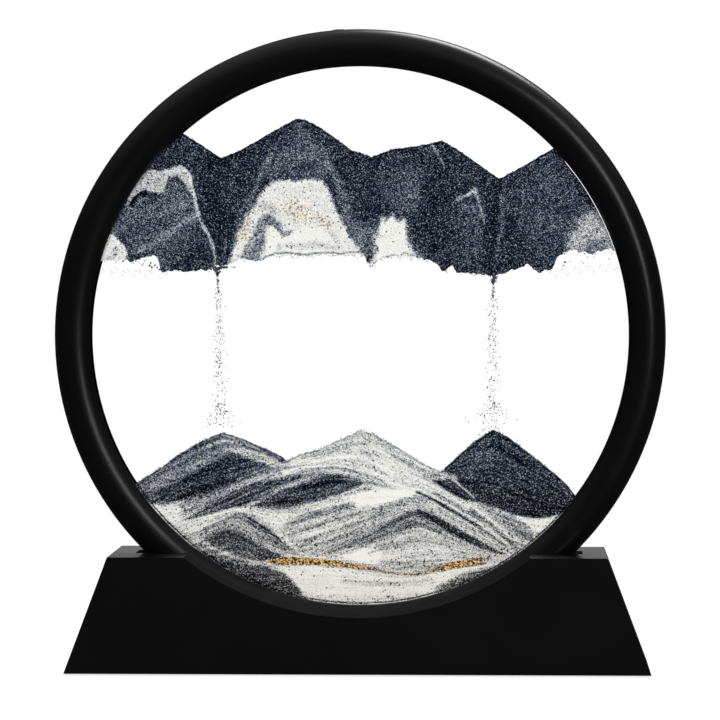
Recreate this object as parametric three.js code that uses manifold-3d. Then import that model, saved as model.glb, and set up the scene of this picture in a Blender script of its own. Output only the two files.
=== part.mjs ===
// Moving sand art frame: a round two-pane sand picture that turns in the trough of a black base.
// Millimetres, +Z up, front towards -Y. The origin is on the table, under the middle of the base.
import * as THREE from 'three';
import { mergeVertices } from 'three/addons/utils/BufferGeometryUtils.js';
import Module from 'manifold-3d';

const wasm = await Module();
wasm.setup();

// Round frame
const RIM_RADIUS = 89;
const RIM_WALL = 4.7; // wall outside the pocket that holds the panes
const LIP_WIDTH = 6; // how far the rim reaches in over the panes
const LIP_RISE = 3.2; // height of the rim's crest over a pane
const GLASS_THICKNESS = 1.5;
const CHAMBER_DEPTH = 3.6; // clear space between the panes
const SPACER_WIDTH = 3;
const SPACER_INSET = 0.8; // from the edge of the panes to the spacer
const SEAL_THICKNESS = 0.4;
const FILL_HOLE_RADIUS = 0.8;
const PLUG_HEAD_SINK = 0.2; // plug's top below the outside of the rim
const PLUG_ANGLE = THREE.MathUtils.degToRad(-4); // from straight up, towards the left

// Base
const BASE_BOTTOM_WIDTH = 169.4;
const BASE_TOP_WIDTH = 143.4;
const BASE_HEIGHT = 34; // table to the top face
const BASE_DEPTH = 48;
const BASE_WALL = 2.4;
const BASE_EDGE = 1; // rounding of the long edges
const BASE_CORNER = 1.5; // rounding of the outline's corners
const RIM_GROUND_HEIGHT = 8.2; // table to the lowest point of the rim
const NOTCH_DROP = 2.1; // how far the notches lie below the window's edge
const LINER_THICKNESS = 1;
const LINER_HALF_ANGLE = THREE.MathUtils.degToRad(35);
const COVER_THICKNESS = 2;
const FOOT_RADIUS = 5;
const FOOT_THICKNESS = 1.6;
const FOOT_PROUD = 0.5; // how far the feet stand below the shell
const FOOT_EDGE = 0.4;
const FOOT_INSET = 10.5; // from the shell's lower corner to a foot, both ways
const SCREW_RADIUS = 1;
const SCREW_LENGTH = 10;
const SCREW_HEAD_RADIUS = 2.4;
const SCREW_HEAD_HEIGHT = 1;
const SCREW_HEAD_SINK = 0.2;
const BOSS_RADIUS = 3.2;
const BOSS_INSET = 26.5; // from the shell's lower corner to a screw, along the base

// Contents
const LIQUID_FILM = 0.5; // liquid between the sand and the front pane
const BUBBLE_RADIUS = 2.2;
const BUBBLE_PITCH = 3.7;
const BUBBLES_IN_ROW = 5;
const STREAM_TOP_WIDTH = 1.2;
const STREAM_BOTTOM_WIDTH = 3.4;

// Fits
const FIT = 0.3; // clearance between neighbours that don't touch face to face
const TROUGH_SIDE_FIT = 0.4; // each side of the rim in the trough
const AROUND = 72; // facets round the rim
const CURVE_STEPS = 5; // facets of each quarter of the rim's section
const BOSS_FACETS = 16;
const CORNER_STEPS = 3; // facets of each rounded corner
const OVERSHOOT = 10; // how far a cutter runs past what it cuts
const SAME_CORNER = 1e-4; // corners closer than this are one

// Worked out from the sizes above
const POCKET_RADIUS = RIM_RADIUS - RIM_WALL;
const GLASS_RADIUS = POCKET_RADIUS - FIT;
const WINDOW_RADIUS = POCKET_RADIUS - LIP_WIDTH;
const CREST_RADIUS = (RIM_RADIUS + WINDOW_RADIUS) / 2;
const SEAT = CHAMBER_DEPTH / 2 + GLASS_THICKNESS; // middle plane to the outside of a pane
const RIM_HALF_DEPTH = SEAT + LIP_RISE;
const SPACER_OUTER = GLASS_RADIUS - SPACER_INSET;
const CHAMBER_RADIUS = SPACER_OUTER - SPACER_WIDTH;
const PLUG_HEAD_RADIUS = CHAMBER_DEPTH / 2 - FIT;
const CENTRE_HEIGHT = RIM_GROUND_HEIGHT + RIM_RADIUS;
const NOTCH_RADIUS = WINDOW_RADIUS + NOTCH_DROP;
const LINER_INNER = RIM_RADIUS + FIT;
const LINER_OUTER = LINER_INNER + LINER_THICKNESS;
const TROUGH_RADIUS = LINER_OUTER + FIT;
const TROUGH_HALF_WIDTH = RIM_HALF_DEPTH + TROUGH_SIDE_FIT;
const COVER_TOP = FOOT_PROUD + COVER_THICKNESS;
const FOOT_X = BASE_BOTTOM_WIDTH / 2 - FOOT_INSET;
const FOOT_Y = BASE_DEPTH / 2 - FOOT_INSET;
const BOSS_X = BASE_BOTTOM_WIDTH / 2 - BOSS_INSET;
const SAND_FRONT = -CHAMBER_DEPTH / 2 + LIQUID_FILM + FIT;
const SAND_REAR = CHAMBER_DEPTH / 2 - FIT;

// The landscape: each outline is the upper edge of a layer, from left to right across the window,
// in window radii from its centre. A layer lies under its outline, behind the layers that come after it.
const LEFT_SPOUT = [-0.52, 0.225];
const RIGHT_SPOUT = [0.487, 0.208];
const LEFT_PEAK = [-0.498, -0.365];
const RIGHT_PEAK = [0.489, -0.358];
const BANK_FOOT = [
  [-1.03, 0.28], [-0.855, 0.29], [-0.752, 0.305], [-0.74, 0.266], [-0.725, 0.238], [-0.608, 0.236],
  [-0.538, 0.246], LEFT_SPOUT, [-0.469, 0.25], [-0.417, 0.288], [-0.362, 0.28], [-0.325, 0.302],
  [-0.222, 0.306], [-0.112, 0.304], [-0.006, 0.31], [0.031, 0.27], [0.116, 0.3], [0.186, 0.298],
  [0.24, 0.268], [0.307, 0.238], [0.432, 0.225], RIGHT_SPOUT, [0.557, 0.238], [0.612, 0.26],
  [0.663, 0.238], [0.704, 0.246], [0.715, 0.288], [0.788, 0.32], [0.85, 0.304], [1.03, 0.33],
];
const UPPER_LAYERS = [
  ['sand_bank', 0x20283a, [
    [-1.05, 0.46], [-0.652, 0.75], [-0.51, 0.656], [-0.436, 0.684], [-0.233, 0.803], [-0.2, 0.8],
    [-0.116, 0.741], [-0.031, 0.682], [0.044, 0.658], [0.116, 0.69], [0.233, 0.706], [0.303, 0.721],
    [0.417, 0.643], [0.511, 0.577], [0.6, 0.628], [0.706, 0.691], [1.05, 0.9],
  ]],
  ['sand_ridge_left', 0xc4c6c4, [
    [-1.03, 0.31], [-0.921, 0.455], [-0.814, 0.578], [-0.76, 0.611], [-0.722, 0.604], [-0.669, 0.626],
    [-0.627, 0.613], [-0.612, 0.561], [-0.572, 0.419], [-0.546, 0.34], [-0.529, 0.22],
  ]],
  ['sand_slope_left', 0x3c4250, [
    [-1.03, 0.28], [-0.957, 0.375], [-0.877, 0.478], [-0.829, 0.518], [-0.722, 0.538], [-0.707, 0.585],
    [-0.663, 0.59], [-0.638, 0.57], [-0.605, 0.482], [-0.583, 0.419], [-0.557, 0.34], [-0.54, 0.22],
  ]],
  ['sand_patch_left', 0xd8d9d2, [[-1.03, 0.41], [-0.924, 0.382], [-0.865, 0.339], [-0.854, 0.28]]],
  ['sand_lens_centre', 0xe4e0d4, [
    [-0.487, 0.24], [-0.434, 0.41], [-0.362, 0.546], [-0.3, 0.585], [-0.237, 0.566], [-0.173, 0.588],
    [-0.123, 0.553], [-0.096, 0.475], [-0.046, 0.382], [-0.013, 0.3],
  ]],
  ['sand_lens_right', 0xe6e4da, [
    [0.046, 0.25], [0.057, 0.346], [0.094, 0.432], [0.167, 0.428], [0.175, 0.36], [0.186, 0.28],
  ]],
  ['sand_patch_right', 0x8d8f94, [
    [0.766, 0.3], [0.788, 0.402], [0.847, 0.453], [0.873, 0.445], [1.03, 0.41],
  ]],
];
const LOWER_LAYERS = [
  ['sand_dune_left', 0x2c3648, [
    [-0.96, -0.635], [-0.829, -0.559], [-0.663, -0.464], LEFT_PEAK, [-0.436, -0.389], [-0.351, -0.427],
    [-0.27, -0.471], [-0.112, -0.58],
  ]],
  ['sand_dune_right', 0x20283a, [
    [0.237, -0.565], [0.301, -0.509], [0.413, -0.408], RIGHT_PEAK, [0.527, -0.373], [0.63, -0.456],
    [0.73, -0.529], [0.792, -0.598], [0.917, -0.71],
  ]],
  ['sand_dune_centre', 0xb4b4b2, [
    [-0.884, -0.588], [-0.737, -0.63], [-0.682, -0.633], [-0.638, -0.615], [-0.491, -0.559],
    [-0.351, -0.509], [-0.27, -0.469], [-0.182, -0.443], [-0.112, -0.415], [-0.046, -0.38], [0.002, -0.358],
    [0.053, -0.374], [0.13, -0.423], [0.219, -0.479], [0.301, -0.509], [0.358, -0.544], [0.413, -0.6],
    [0.461, -0.635], [0.52, -0.654], [0.597, -0.678], [0.693, -0.684], [0.807, -0.66],
  ]],
  ['sand_dark_band', 0x3a3f4a, [
    [-0.774, -0.73], [-0.652, -0.69], [-0.623, -0.643], [-0.491, -0.58], [-0.351, -0.524], [-0.222, -0.497],
    [-0.118, -0.507], [-0.002, -0.535], [0.13, -0.572], [0.255, -0.62],
  ]],
  ['sand_pale_drift', 0xc2c2c0, [
    [-0.774, -0.721], [-0.652, -0.693], [-0.491, -0.657], [-0.391, -0.633], [-0.272, -0.633],
    [-0.145, -0.611], [-0.013, -0.551], [0.13, -0.572], [0.217, -0.585], [0.402, -0.691], [0.59, -0.792],
    [0.733, -0.87],
  ]],
  ['sand_mound_left', 0x6e7178, [
    [-0.774, -0.784], [-0.59, -0.728], [-0.456, -0.667], [-0.406, -0.68], [-0.3, -0.754], [-0.222, -0.807],
    [-0.112, -0.877],
  ]],
  ['sand_mound_right', 0x9b9da2, [
    [-0.259, -0.852], [-0.134, -0.81], [0.035, -0.721], [0.217, -0.65], [0.366, -0.728], [0.527, -0.81],
    [0.66, -0.877],
  ]],
  ['sand_gold_seam', 0xb07c2a, [
    [-0.39, -0.845], [-0.3, -0.825], [-0.208, -0.833], [-0.075, -0.842], [0.05, -0.868], [0.132, -0.882],
    [0.209, -0.884], [0.274, -0.865], [0.358, -0.842], [0.47, -0.829], [0.624, -0.81],
  ]],
  ['sand_bed', 0xdedcd6, [
    [-0.443, -0.848], [-0.307, -0.857], [-0.208, -0.861], [-0.075, -0.863], [0.05, -0.88], [0.132, -0.893],
    [0.209, -0.895], [0.274, -0.88], [0.358, -0.862], [0.47, -0.85], [0.66, -0.826],
  ]],
  ['sand_drift_left', 0x4c505a, [
    [-0.847, -0.673], [-0.671, -0.728], [-0.487, -0.814], [-0.351, -0.836], [-0.272, -0.887],
    [-0.208, -0.963], [-0.167, -1.034],
  ]],
  ['sand_drift_right', 0x5a5d66, [
    [0.237, -1.01], [0.287, -0.946], [0.344, -0.907], [0.413, -0.872], [0.483, -0.85], [0.66, -0.81],
  ]],
];
const LANDSCAPE_FLOOR = -2; // window radii, well below the chamber
const LEFT_BUBBLES = [-0.86, 0.262]; // middle of each row of bubbles, in window radii
const RIGHT_BUBBLES = [0.84, 0.275];

// Materials
function finish(colour, roughness, metalness = 0, opacity = 1) {
  return new THREE.MeshStandardMaterial({
    color: colour, roughness, metalness, opacity, transparent: opacity < 1,
  });
}

const blackPlastic = finish(0x0e0e0f, 0.35);
const darkPlastic = finish(0x161617, 0.6);
const rubber = finish(0x1b1b1c, 0.85);
const silicone = finish(0xc9cccc, 0.5);
const felt = finish(0x1a1a1b, 0.95);
const steel = finish(0x9a9da1, 0.35, 1);
const glass = finish(0xf2f6f6, 0.03, 0, 0.15);
const clearLiquid = finish(0xf4f8fa, 0.02, 0, 0.05);
const spacerPlastic = finish(0x101011, 0.5);
const SAND_ROUGHNESS = 0.8;
const fallingSand = finish(0x30343c, SAND_ROUGHNESS);

// Solids: joins and cuts need one closed mesh with shared corners and no empty triangles
function solid(geometry) {
  const bare = geometry.clone();
  bare.deleteAttribute('normal');
  bare.deleteAttribute('uv');
  const merged = mergeVertices(bare, SAME_CORNER);
  const corners = [];
  for (let i = 0; i < merged.index.count; i += 3) {
    const [a, b, c] = [0, 1, 2].map((k) => merged.index.getX(i + k));
    if (a !== b && b !== c && c !== a) corners.push(a, b, c);
  }
  return new wasm.Manifold(new wasm.Mesh({
    numProp: 3,
    vertProperties: Float32Array.from(merged.attributes.position.array),
    triVerts: Uint32Array.from(corners),
  }));
}

function shapeOf(body) {
  const mesh = body.getMesh();
  const geometry = new THREE.BufferGeometry();
  geometry.setAttribute('position', new THREE.BufferAttribute(Float32Array.from(mesh.vertProperties), 3));
  geometry.setIndex(Array.from(mesh.triVerts));
  geometry.computeVertexNormals();
  return geometry;
}

// A plate drawn in the X-Z plane, from y = front to y = rear
function plate(outline, front, rear) {
  const geometry = new THREE.ExtrudeGeometry(outline, {
    depth: rear - front, bevelEnabled: false, curveSegments: CORNER_STEPS,
  });
  return geometry.rotateX(Math.PI / 2).translate(0, rear, 0);
}

// A rail drawn in the Y-Z plane, as long as a width and centred on x = 0
function rail(outline, width) {
  const geometry = new THREE.ExtrudeGeometry(outline, {
    depth: width, bevelEnabled: false, curveSegments: CORNER_STEPS,
  });
  return geometry.rotateX(Math.PI / 2).rotateZ(Math.PI / 2).translate(-width / 2, 0, 0);
}

// A closed outline through corner points, each rounded by the same length of its sides
function rounded(corners, length) {
  const outline = new THREE.Shape();
  corners.forEach((point, i) => {
    const before = corners.at(i - 1).clone().sub(point).setLength(length).add(point);
    const after = corners[(i + 1) % corners.length].clone().sub(point).setLength(length).add(point);
    if (i === 0) outline.moveTo(before.x, before.y);
    else outline.lineTo(before.x, before.y);
    outline.quadraticCurveTo(point.x, point.y, after.x, after.y);
  });
  return outline;
}

// A disc or drum about the Y axis, from y = front to y = rear
function drum(radius, front, rear, facets = AROUND) {
  const geometry = new THREE.CylinderGeometry(radius, radius, rear - front, facets);
  return geometry.translate(0, (front + rear) / 2, 0);
}

// An upright rod from z = low to z = high
function rod(radius, low, high) {
  const geometry = new THREE.CylinderGeometry(radius, radius, high - low, BOSS_FACETS);
  return geometry.rotateX(Math.PI / 2).translate(0, 0, (low + high) / 2);
}

// A piece turned about the Z axis from [radius, height] points that start and end on the axis
function turned(profile) {
  const points = profile.map(([radius, height]) => new THREE.Vector2(radius, height));
  return new THREE.LatheGeometry(points, BOSS_FACETS).rotateX(Math.PI / 2);
}

function named(name, geometry, material) {
  const mesh = new THREE.Mesh(geometry, material);
  mesh.name = name;
  return mesh;
}

// Rim halves: an elliptical outer quarter, a flatter inner quarter over the pane, and the pocket behind
function rimSection(side) {
  const points = [];
  for (let i = 0; i <= CURVE_STEPS; i += 1) {
    const turn = (i / CURVE_STEPS) * (Math.PI / 2);
    const radius = CREST_RADIUS + (RIM_RADIUS - CREST_RADIUS) * Math.cos(turn);
    points.push(new THREE.Vector2(radius, side * RIM_HALF_DEPTH * Math.sin(turn)));
  }
  for (let i = 1; i <= CURVE_STEPS; i += 1) {
    const turn = (i / CURVE_STEPS) * (Math.PI / 2);
    const radius = CREST_RADIUS - (CREST_RADIUS - WINDOW_RADIUS) * Math.sin(turn);
    points.push(new THREE.Vector2(radius, side * (SEAT + LIP_RISE * Math.cos(turn))));
  }
  points.push(new THREE.Vector2(POCKET_RADIUS, side * SEAT));
  points.push(new THREE.Vector2(POCKET_RADIUS, 0));
  points.push(points[0].clone());
  return side < 0 ? points.reverse() : points;
}

// A bore along the radius at the plug's angle, between two distances from the frame's centre
function radialBore(radius, inner, outer) {
  return rod(radius, inner, outer).rotateY(PLUG_ANGLE);
}

function rim(name, side) {
  const ring = solid(new THREE.LatheGeometry(rimSection(side), AROUND));
  const bore = solid(radialBore(PLUG_HEAD_RADIUS + FIT, CREST_RADIUS - RIM_WALL, RIM_RADIUS + OVERSHOOT));
  return named(name, shapeOf(ring.subtract(bore)), blackPlastic);
}

function flatRing(inner, outer, front, rear) {
  const outline = new THREE.Shape().absarc(0, 0, outer, 0, 2 * Math.PI, false);
  outline.holes.push(new THREE.Path().absarc(0, 0, inner, 0, 2 * Math.PI, true));
  const geometry = new THREE.ExtrudeGeometry(outline, {
    depth: rear - front, bevelEnabled: false, curveSegments: AROUND / 2,
  });
  return geometry.rotateX(Math.PI / 2).translate(0, rear, 0);
}

function capsule() {
  const inside = CHAMBER_DEPTH / 2;
  const spacerFace = inside - SEAL_THICKNESS;
  const spacer = solid(flatRing(CHAMBER_RADIUS, SPACER_OUTER, -spacerFace, spacerFace));
  const fillHole = solid(radialBore(FILL_HOLE_RADIUS, CHAMBER_RADIUS - OVERSHOOT, SPACER_OUTER + OVERSHOOT));
  const stemRadius = FILL_HOLE_RADIUS - FIT;
  const plug = turned([
    [0, CHAMBER_RADIUS], [stemRadius, CHAMBER_RADIUS], [stemRadius, SPACER_OUTER + FIT],
    [PLUG_HEAD_RADIUS, SPACER_OUTER + FIT], [PLUG_HEAD_RADIUS, RIM_RADIUS - PLUG_HEAD_SINK - FIT],
    [PLUG_HEAD_RADIUS - FIT, RIM_RADIUS - PLUG_HEAD_SINK], [0, RIM_RADIUS - PLUG_HEAD_SINK],
  ]);
  return [
    named('front_glass', drum(GLASS_RADIUS, -SEAT, -inside), glass),
    named('rear_glass', drum(GLASS_RADIUS, inside, SEAT), glass),
    named('spacer_ring', shapeOf(spacer.subtract(fillHole)), spacerPlastic),
    named('front_seal', flatRing(CHAMBER_RADIUS, SPACER_OUTER, -inside, -spacerFace), silicone),
    named('rear_seal', flatRing(CHAMBER_RADIUS, SPACER_OUTER, spacerFace, inside), silicone),
    named('fill_plug', plug.rotateY(PLUG_ANGLE), silicone),
  ];
}

// The part of the landscape under an outline, raised by a clearance
function under(outline, raise, front, rear) {
  const points = outline.map(([x, z]) => new THREE.Vector2(x * WINDOW_RADIUS, z * WINDOW_RADIUS + raise));
  const floor = LANDSCAPE_FLOOR * WINDOW_RADIUS;
  points.push(new THREE.Vector2(points.at(-1).x, floor), new THREE.Vector2(points[0].x, floor));
  return solid(plate(new THREE.Shape(points), front, rear));
}

function cutUnder(outline, raise) {
  return under(outline, raise, SAND_FRONT - FIT, CHAMBER_DEPTH);
}

function sandLayers(layers, foot) {
  const chamber = solid(drum(CHAMBER_RADIUS - FIT, -CHAMBER_DEPTH, CHAMBER_DEPTH));
  return layers.map(([name, colour, outline], place) => {
    let body = under(outline, 0, SAND_FRONT, SAND_REAR).intersect(chamber);
    for (const later of layers.slice(place + 1)) body = body.subtract(cutUnder(later[2], FIT));
    if (foot) body = body.subtract(cutUnder(foot, 0));
    return named(name, shapeOf(body), finish(colour, SAND_ROUGHNESS));
  });
}

// A falling stream, from the bank's spout to the peak that it builds
function streamOutline(spout, peak, spread) {
  const top = spout[1] * WINDOW_RADIUS - FIT + spread;
  const bottom = peak[1] * WINDOW_RADIUS + FIT - spread;
  const [topX, bottomX] = [spout[0] * WINDOW_RADIUS, peak[0] * WINDOW_RADIUS];
  const [topHalf, bottomHalf] = [STREAM_TOP_WIDTH / 2 + spread, STREAM_BOTTOM_WIDTH / 2 + spread];
  return new THREE.Shape([
    new THREE.Vector2(topX - topHalf, top), new THREE.Vector2(bottomX - bottomHalf, bottom),
    new THREE.Vector2(bottomX + bottomHalf, bottom), new THREE.Vector2(topX + topHalf, top),
  ]);
}

// A chain of bubbles under the bank's foot
function bubbleRow(middle, grow) {
  let row = null;
  for (let i = 0; i < BUBBLES_IN_ROW; i += 1) {
    const across = middle[0] * WINDOW_RADIUS + (i - (BUBBLES_IN_ROW - 1) / 2) * BUBBLE_PITCH;
    const bubble = drum(BUBBLE_RADIUS + grow, SAND_FRONT - grow, SAND_REAR + grow, BOSS_FACETS);
    const body = solid(bubble.translate(across, 0, middle[1] * WINDOW_RADIUS));
    row = row ? row.add(body) : body;
  }
  return row;
}

function contents() {
  const streams = [[LEFT_SPOUT, LEFT_PEAK], [RIGHT_SPOUT, RIGHT_PEAK]];
  const [leftStream, rightStream] = streams.map(
    (ends) => plate(streamOutline(...ends, 0), SAND_FRONT, SAND_REAR),
  );
  const belowBank = under(BANK_FOOT, -FIT, -CHAMBER_DEPTH, CHAMBER_DEPTH);
  const chamber = solid(drum(CHAMBER_RADIUS - FIT, -CHAMBER_DEPTH, CHAMBER_DEPTH));
  const room = belowBank.intersect(chamber);
  const rows = [LEFT_BUBBLES, RIGHT_BUBBLES];
  const [leftAir, rightAir] = rows.map((row) => bubbleRow(row, 0).intersect(room));

  let liquid = solid(drum(CHAMBER_RADIUS - FIT, -CHAMBER_DEPTH / 2, CHAMBER_DEPTH / 2));
  liquid = liquid.subtract(cutUnder(UPPER_LAYERS[0][2], FIT).subtract(cutUnder(BANK_FOOT, -FIT)));
  for (const [, , outline] of LOWER_LAYERS) liquid = liquid.subtract(cutUnder(outline, FIT));
  for (const ends of streams) {
    liquid = liquid.subtract(solid(plate(streamOutline(...ends, FIT), SAND_FRONT - FIT, CHAMBER_DEPTH)));
  }
  for (const row of rows) liquid = liquid.subtract(bubbleRow(row, FIT));

  return [
    ...sandLayers(UPPER_LAYERS, BANK_FOOT),
    ...sandLayers(LOWER_LAYERS, null),
    named('sand_stream_left', leftStream, fallingSand),
    named('sand_stream_right', rightStream, fallingSand),
    named('trapped_air_left', shapeOf(leftAir), clearLiquid),
    named('trapped_air_right', shapeOf(rightAir), clearLiquid),
    named('liquid_fill', shapeOf(liquid), clearLiquid),
  ];
}

// Half the base's width at a height above the table
function baseHalfWidth(height) {
  const rise = (height - FOOT_PROUD) / (BASE_HEIGHT - FOOT_PROUD);
  return THREE.MathUtils.lerp(BASE_BOTTOM_WIDTH, BASE_TOP_WIDTH, rise) / 2;
}

// The base's front outline between two heights, drawn in from the outside by an inset
function baseOutline(inset, low, high) {
  const corners = [[-1, low], [1, low], [1, high], [-1, high]].map(
    ([side, height]) => new THREE.Vector2(side * (baseHalfWidth(height) - inset), height),
  );
  return rounded(corners, BASE_CORNER);
}

function fourCorners(x, y) {
  return [[-x, -y], [x, -y], [-x, y], [x, y]];
}

function baseShell() {
  const half = BASE_DEPTH / 2;
  const slab = solid(plate(baseOutline(0, FOOT_PROUD, BASE_HEIGHT), -half, half));
  const section = [[-half, FOOT_PROUD], [half, FOOT_PROUD], [half, BASE_HEIGHT], [-half, BASE_HEIGHT]];
  const edges = rounded(section.map(([y, z]) => new THREE.Vector2(y, z)), BASE_EDGE);
  const outside = slab.intersect(solid(rail(edges, BASE_BOTTOM_WIDTH + BASE_TOP_WIDTH)));

  const cavityOutline = baseOutline(BASE_WALL, FOOT_PROUD - OVERSHOOT, BASE_HEIGHT - BASE_WALL);
  const cavity = solid(plate(cavityOutline, -half + BASE_WALL, half - BASE_WALL));
  const about = (geometry) => solid(geometry.translate(0, 0, CENTRE_HEIGHT));
  const notch = about(drum(NOTCH_RADIUS, -half - OVERSHOOT, half + OVERSHOOT));
  const notchWall = about(drum(NOTCH_RADIUS + BASE_WALL, -half, half));
  const trough = about(drum(TROUGH_RADIUS, -TROUGH_HALF_WIDTH, TROUGH_HALF_WIDTH));
  const troughReach = TROUGH_HALF_WIDTH + BASE_WALL;
  const troughWall = about(drum(TROUGH_RADIUS + BASE_WALL, -troughReach, troughReach));

  let shell = outside.subtract(cavity.subtract(notchWall).subtract(troughWall));
  const roof = BASE_HEIGHT - BASE_WALL / 2;
  const places = fourCorners(BOSS_X, FOOT_Y);
  for (const [x, y] of places) {
    const boss = rod(BOSS_RADIUS, COVER_TOP, roof);
    shell = shell.add(solid(boss.translate(x, y, 0)));
  }
  shell = shell.subtract(notch).subtract(trough);
  for (const [x, y] of places) {
    const pilot = rod(SCREW_RADIUS + FIT, COVER_TOP - OVERSHOOT, FOOT_PROUD + SCREW_LENGTH + 2 * FIT);
    shell = shell.subtract(solid(pilot.translate(x, y, 0)));
  }
  return named('base_shell', shapeOf(shell), blackPlastic);
}

function bottomCover() {
  const width = 2 * (baseHalfWidth(COVER_TOP) - BASE_WALL - FIT);
  const depth = BASE_DEPTH - 2 * (BASE_WALL + FIT);
  const panel = new THREE.BoxGeometry(width, depth, COVER_THICKNESS);
  let cover = solid(panel.translate(0, 0, FOOT_PROUD + COVER_THICKNESS / 2));
  const headSeat = FOOT_PROUD + SCREW_HEAD_SINK + SCREW_HEAD_HEIGHT;
  const below = FOOT_PROUD - OVERSHOOT;
  for (const [x, y] of fourCorners(BOSS_X, FOOT_Y)) {
    const hole = rod(SCREW_RADIUS + FIT, below, COVER_TOP + OVERSHOOT);
    const counterbore = rod(SCREW_HEAD_RADIUS + FIT, below, headSeat);
    cover = cover.subtract(solid(hole.translate(x, y, 0)));
    cover = cover.subtract(solid(counterbore.translate(x, y, 0)));
  }
  for (const [x, y] of fourCorners(FOOT_X, FOOT_Y)) {
    const recess = rod(FOOT_RADIUS + FIT, below, FOOT_THICKNESS);
    cover = cover.subtract(solid(recess.translate(x, y, 0)));
  }
  return named('bottom_cover', shapeOf(cover), darkPlastic);
}

function coverScrews() {
  const low = FOOT_PROUD + SCREW_HEAD_SINK;
  const profile = [
    [0, low], [SCREW_HEAD_RADIUS, low], [SCREW_HEAD_RADIUS, low + SCREW_HEAD_HEIGHT],
    [SCREW_RADIUS, low + SCREW_HEAD_HEIGHT], [SCREW_RADIUS, FOOT_PROUD + SCREW_LENGTH - SCREW_RADIUS],
    [0, FOOT_PROUD + SCREW_LENGTH],
  ];
  return fourCorners(BOSS_X, FOOT_Y).map(([x, y], i) => {
    const screw = named(`cover_screw_${i + 1}`, turned(profile), steel);
    screw.position.set(x, y, 0);
    return screw;
  });
}

function feet() {
  const profile = [
    [0, 0], [FOOT_RADIUS - FOOT_EDGE, 0], [FOOT_RADIUS, FOOT_EDGE], [FOOT_RADIUS, FOOT_THICKNESS],
    [0, FOOT_THICKNESS],
  ];
  return fourCorners(FOOT_X, FOOT_Y).map(([x, y], i) => {
    const foot = named(`foot_${i + 1}`, turned(profile), rubber);
    foot.position.set(x, y, 0);
    return foot;
  });
}

function cradleLiner() {
  const [from, to] = [-Math.PI / 2 - LINER_HALF_ANGLE, -Math.PI / 2 + LINER_HALF_ANGLE];
  const outline = new THREE.Shape().absarc(0, 0, LINER_OUTER, from, to, false);
  outline.absarc(0, 0, LINER_INNER, to, from, true);
  const half = TROUGH_HALF_WIDTH - FIT;
  const strip = new THREE.ExtrudeGeometry(outline, {
    depth: 2 * half, bevelEnabled: false, curveSegments: AROUND / 4,
  });
  const liner = named('cradle_liner', strip.rotateX(Math.PI / 2).translate(0, half, 0), felt);
  liner.position.z = CENTRE_HEIGHT;
  return liner;
}

const base = new THREE.Group();
base.add(baseShell(), bottomCover(), cradleLiner(), ...coverScrews(), ...feet());

const roundFrame = new THREE.Group();
roundFrame.position.z = CENTRE_HEIGHT;
roundFrame.add(rim('front_rim', -1), rim('rear_rim', 1), ...capsule(), ...contents());

const sandArtFrame = new THREE.Group();
sandArtFrame.add(base, roundFrame);

export default sandArtFrame;
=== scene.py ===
import math

import bmesh
import bpy
import numpy as np
from mathutils import Matrix, Vector


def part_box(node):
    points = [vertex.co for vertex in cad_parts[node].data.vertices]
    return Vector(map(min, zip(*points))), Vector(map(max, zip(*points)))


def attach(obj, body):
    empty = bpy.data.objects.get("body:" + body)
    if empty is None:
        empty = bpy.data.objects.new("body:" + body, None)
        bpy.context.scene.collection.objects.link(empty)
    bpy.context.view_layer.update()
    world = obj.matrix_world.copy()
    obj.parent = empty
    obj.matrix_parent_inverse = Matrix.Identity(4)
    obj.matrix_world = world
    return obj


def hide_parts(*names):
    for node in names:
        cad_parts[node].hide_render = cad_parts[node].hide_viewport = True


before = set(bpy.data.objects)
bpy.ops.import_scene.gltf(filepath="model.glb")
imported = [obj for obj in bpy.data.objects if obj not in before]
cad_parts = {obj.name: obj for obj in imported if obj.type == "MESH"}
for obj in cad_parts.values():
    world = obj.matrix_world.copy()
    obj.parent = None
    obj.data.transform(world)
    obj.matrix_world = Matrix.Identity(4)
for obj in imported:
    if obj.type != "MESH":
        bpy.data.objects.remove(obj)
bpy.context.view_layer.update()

# A moving sand art frame: a round two-pane sand picture that turns in the trough of a black base.
# Metres, +Z up, front towards -Y. The landscape is drawn in window radii from the window's centre,
# and the sand's paint in millimetres.

# Sizes, from the frame
rim_low, rim_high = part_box("front_rim")
pane_low, pane_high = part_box("front_glass")
shell_low, shell_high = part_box("base_shell")
liner_low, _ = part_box("cradle_liner")
sand_low, sand_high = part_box("sand_bank")
_, liquid_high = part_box("liquid_fill")
RIM_RADIUS = rim_high.x
RIM_HALF_DEPTH = -rim_low.y
CENTRE = Vector((0, 0, (rim_low.z + rim_high.z) / 2))
PANE_RADIUS = pane_high.x
PANE_OUTSIDE = -pane_low.y  # middle plane to the outside of a pane
PANE_INSIDE = -pane_high.y
CHAMBER_RADIUS = liquid_high.x
SAND_FRONT, SAND_REAR = sand_low.y, sand_high.y
BASE_HALF_DEPTH = shell_high.y
BASE_HALF_WIDTH = shell_high.x
BASE_FOOT, BASE_TOP = shell_low.z, shell_high.z

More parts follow.
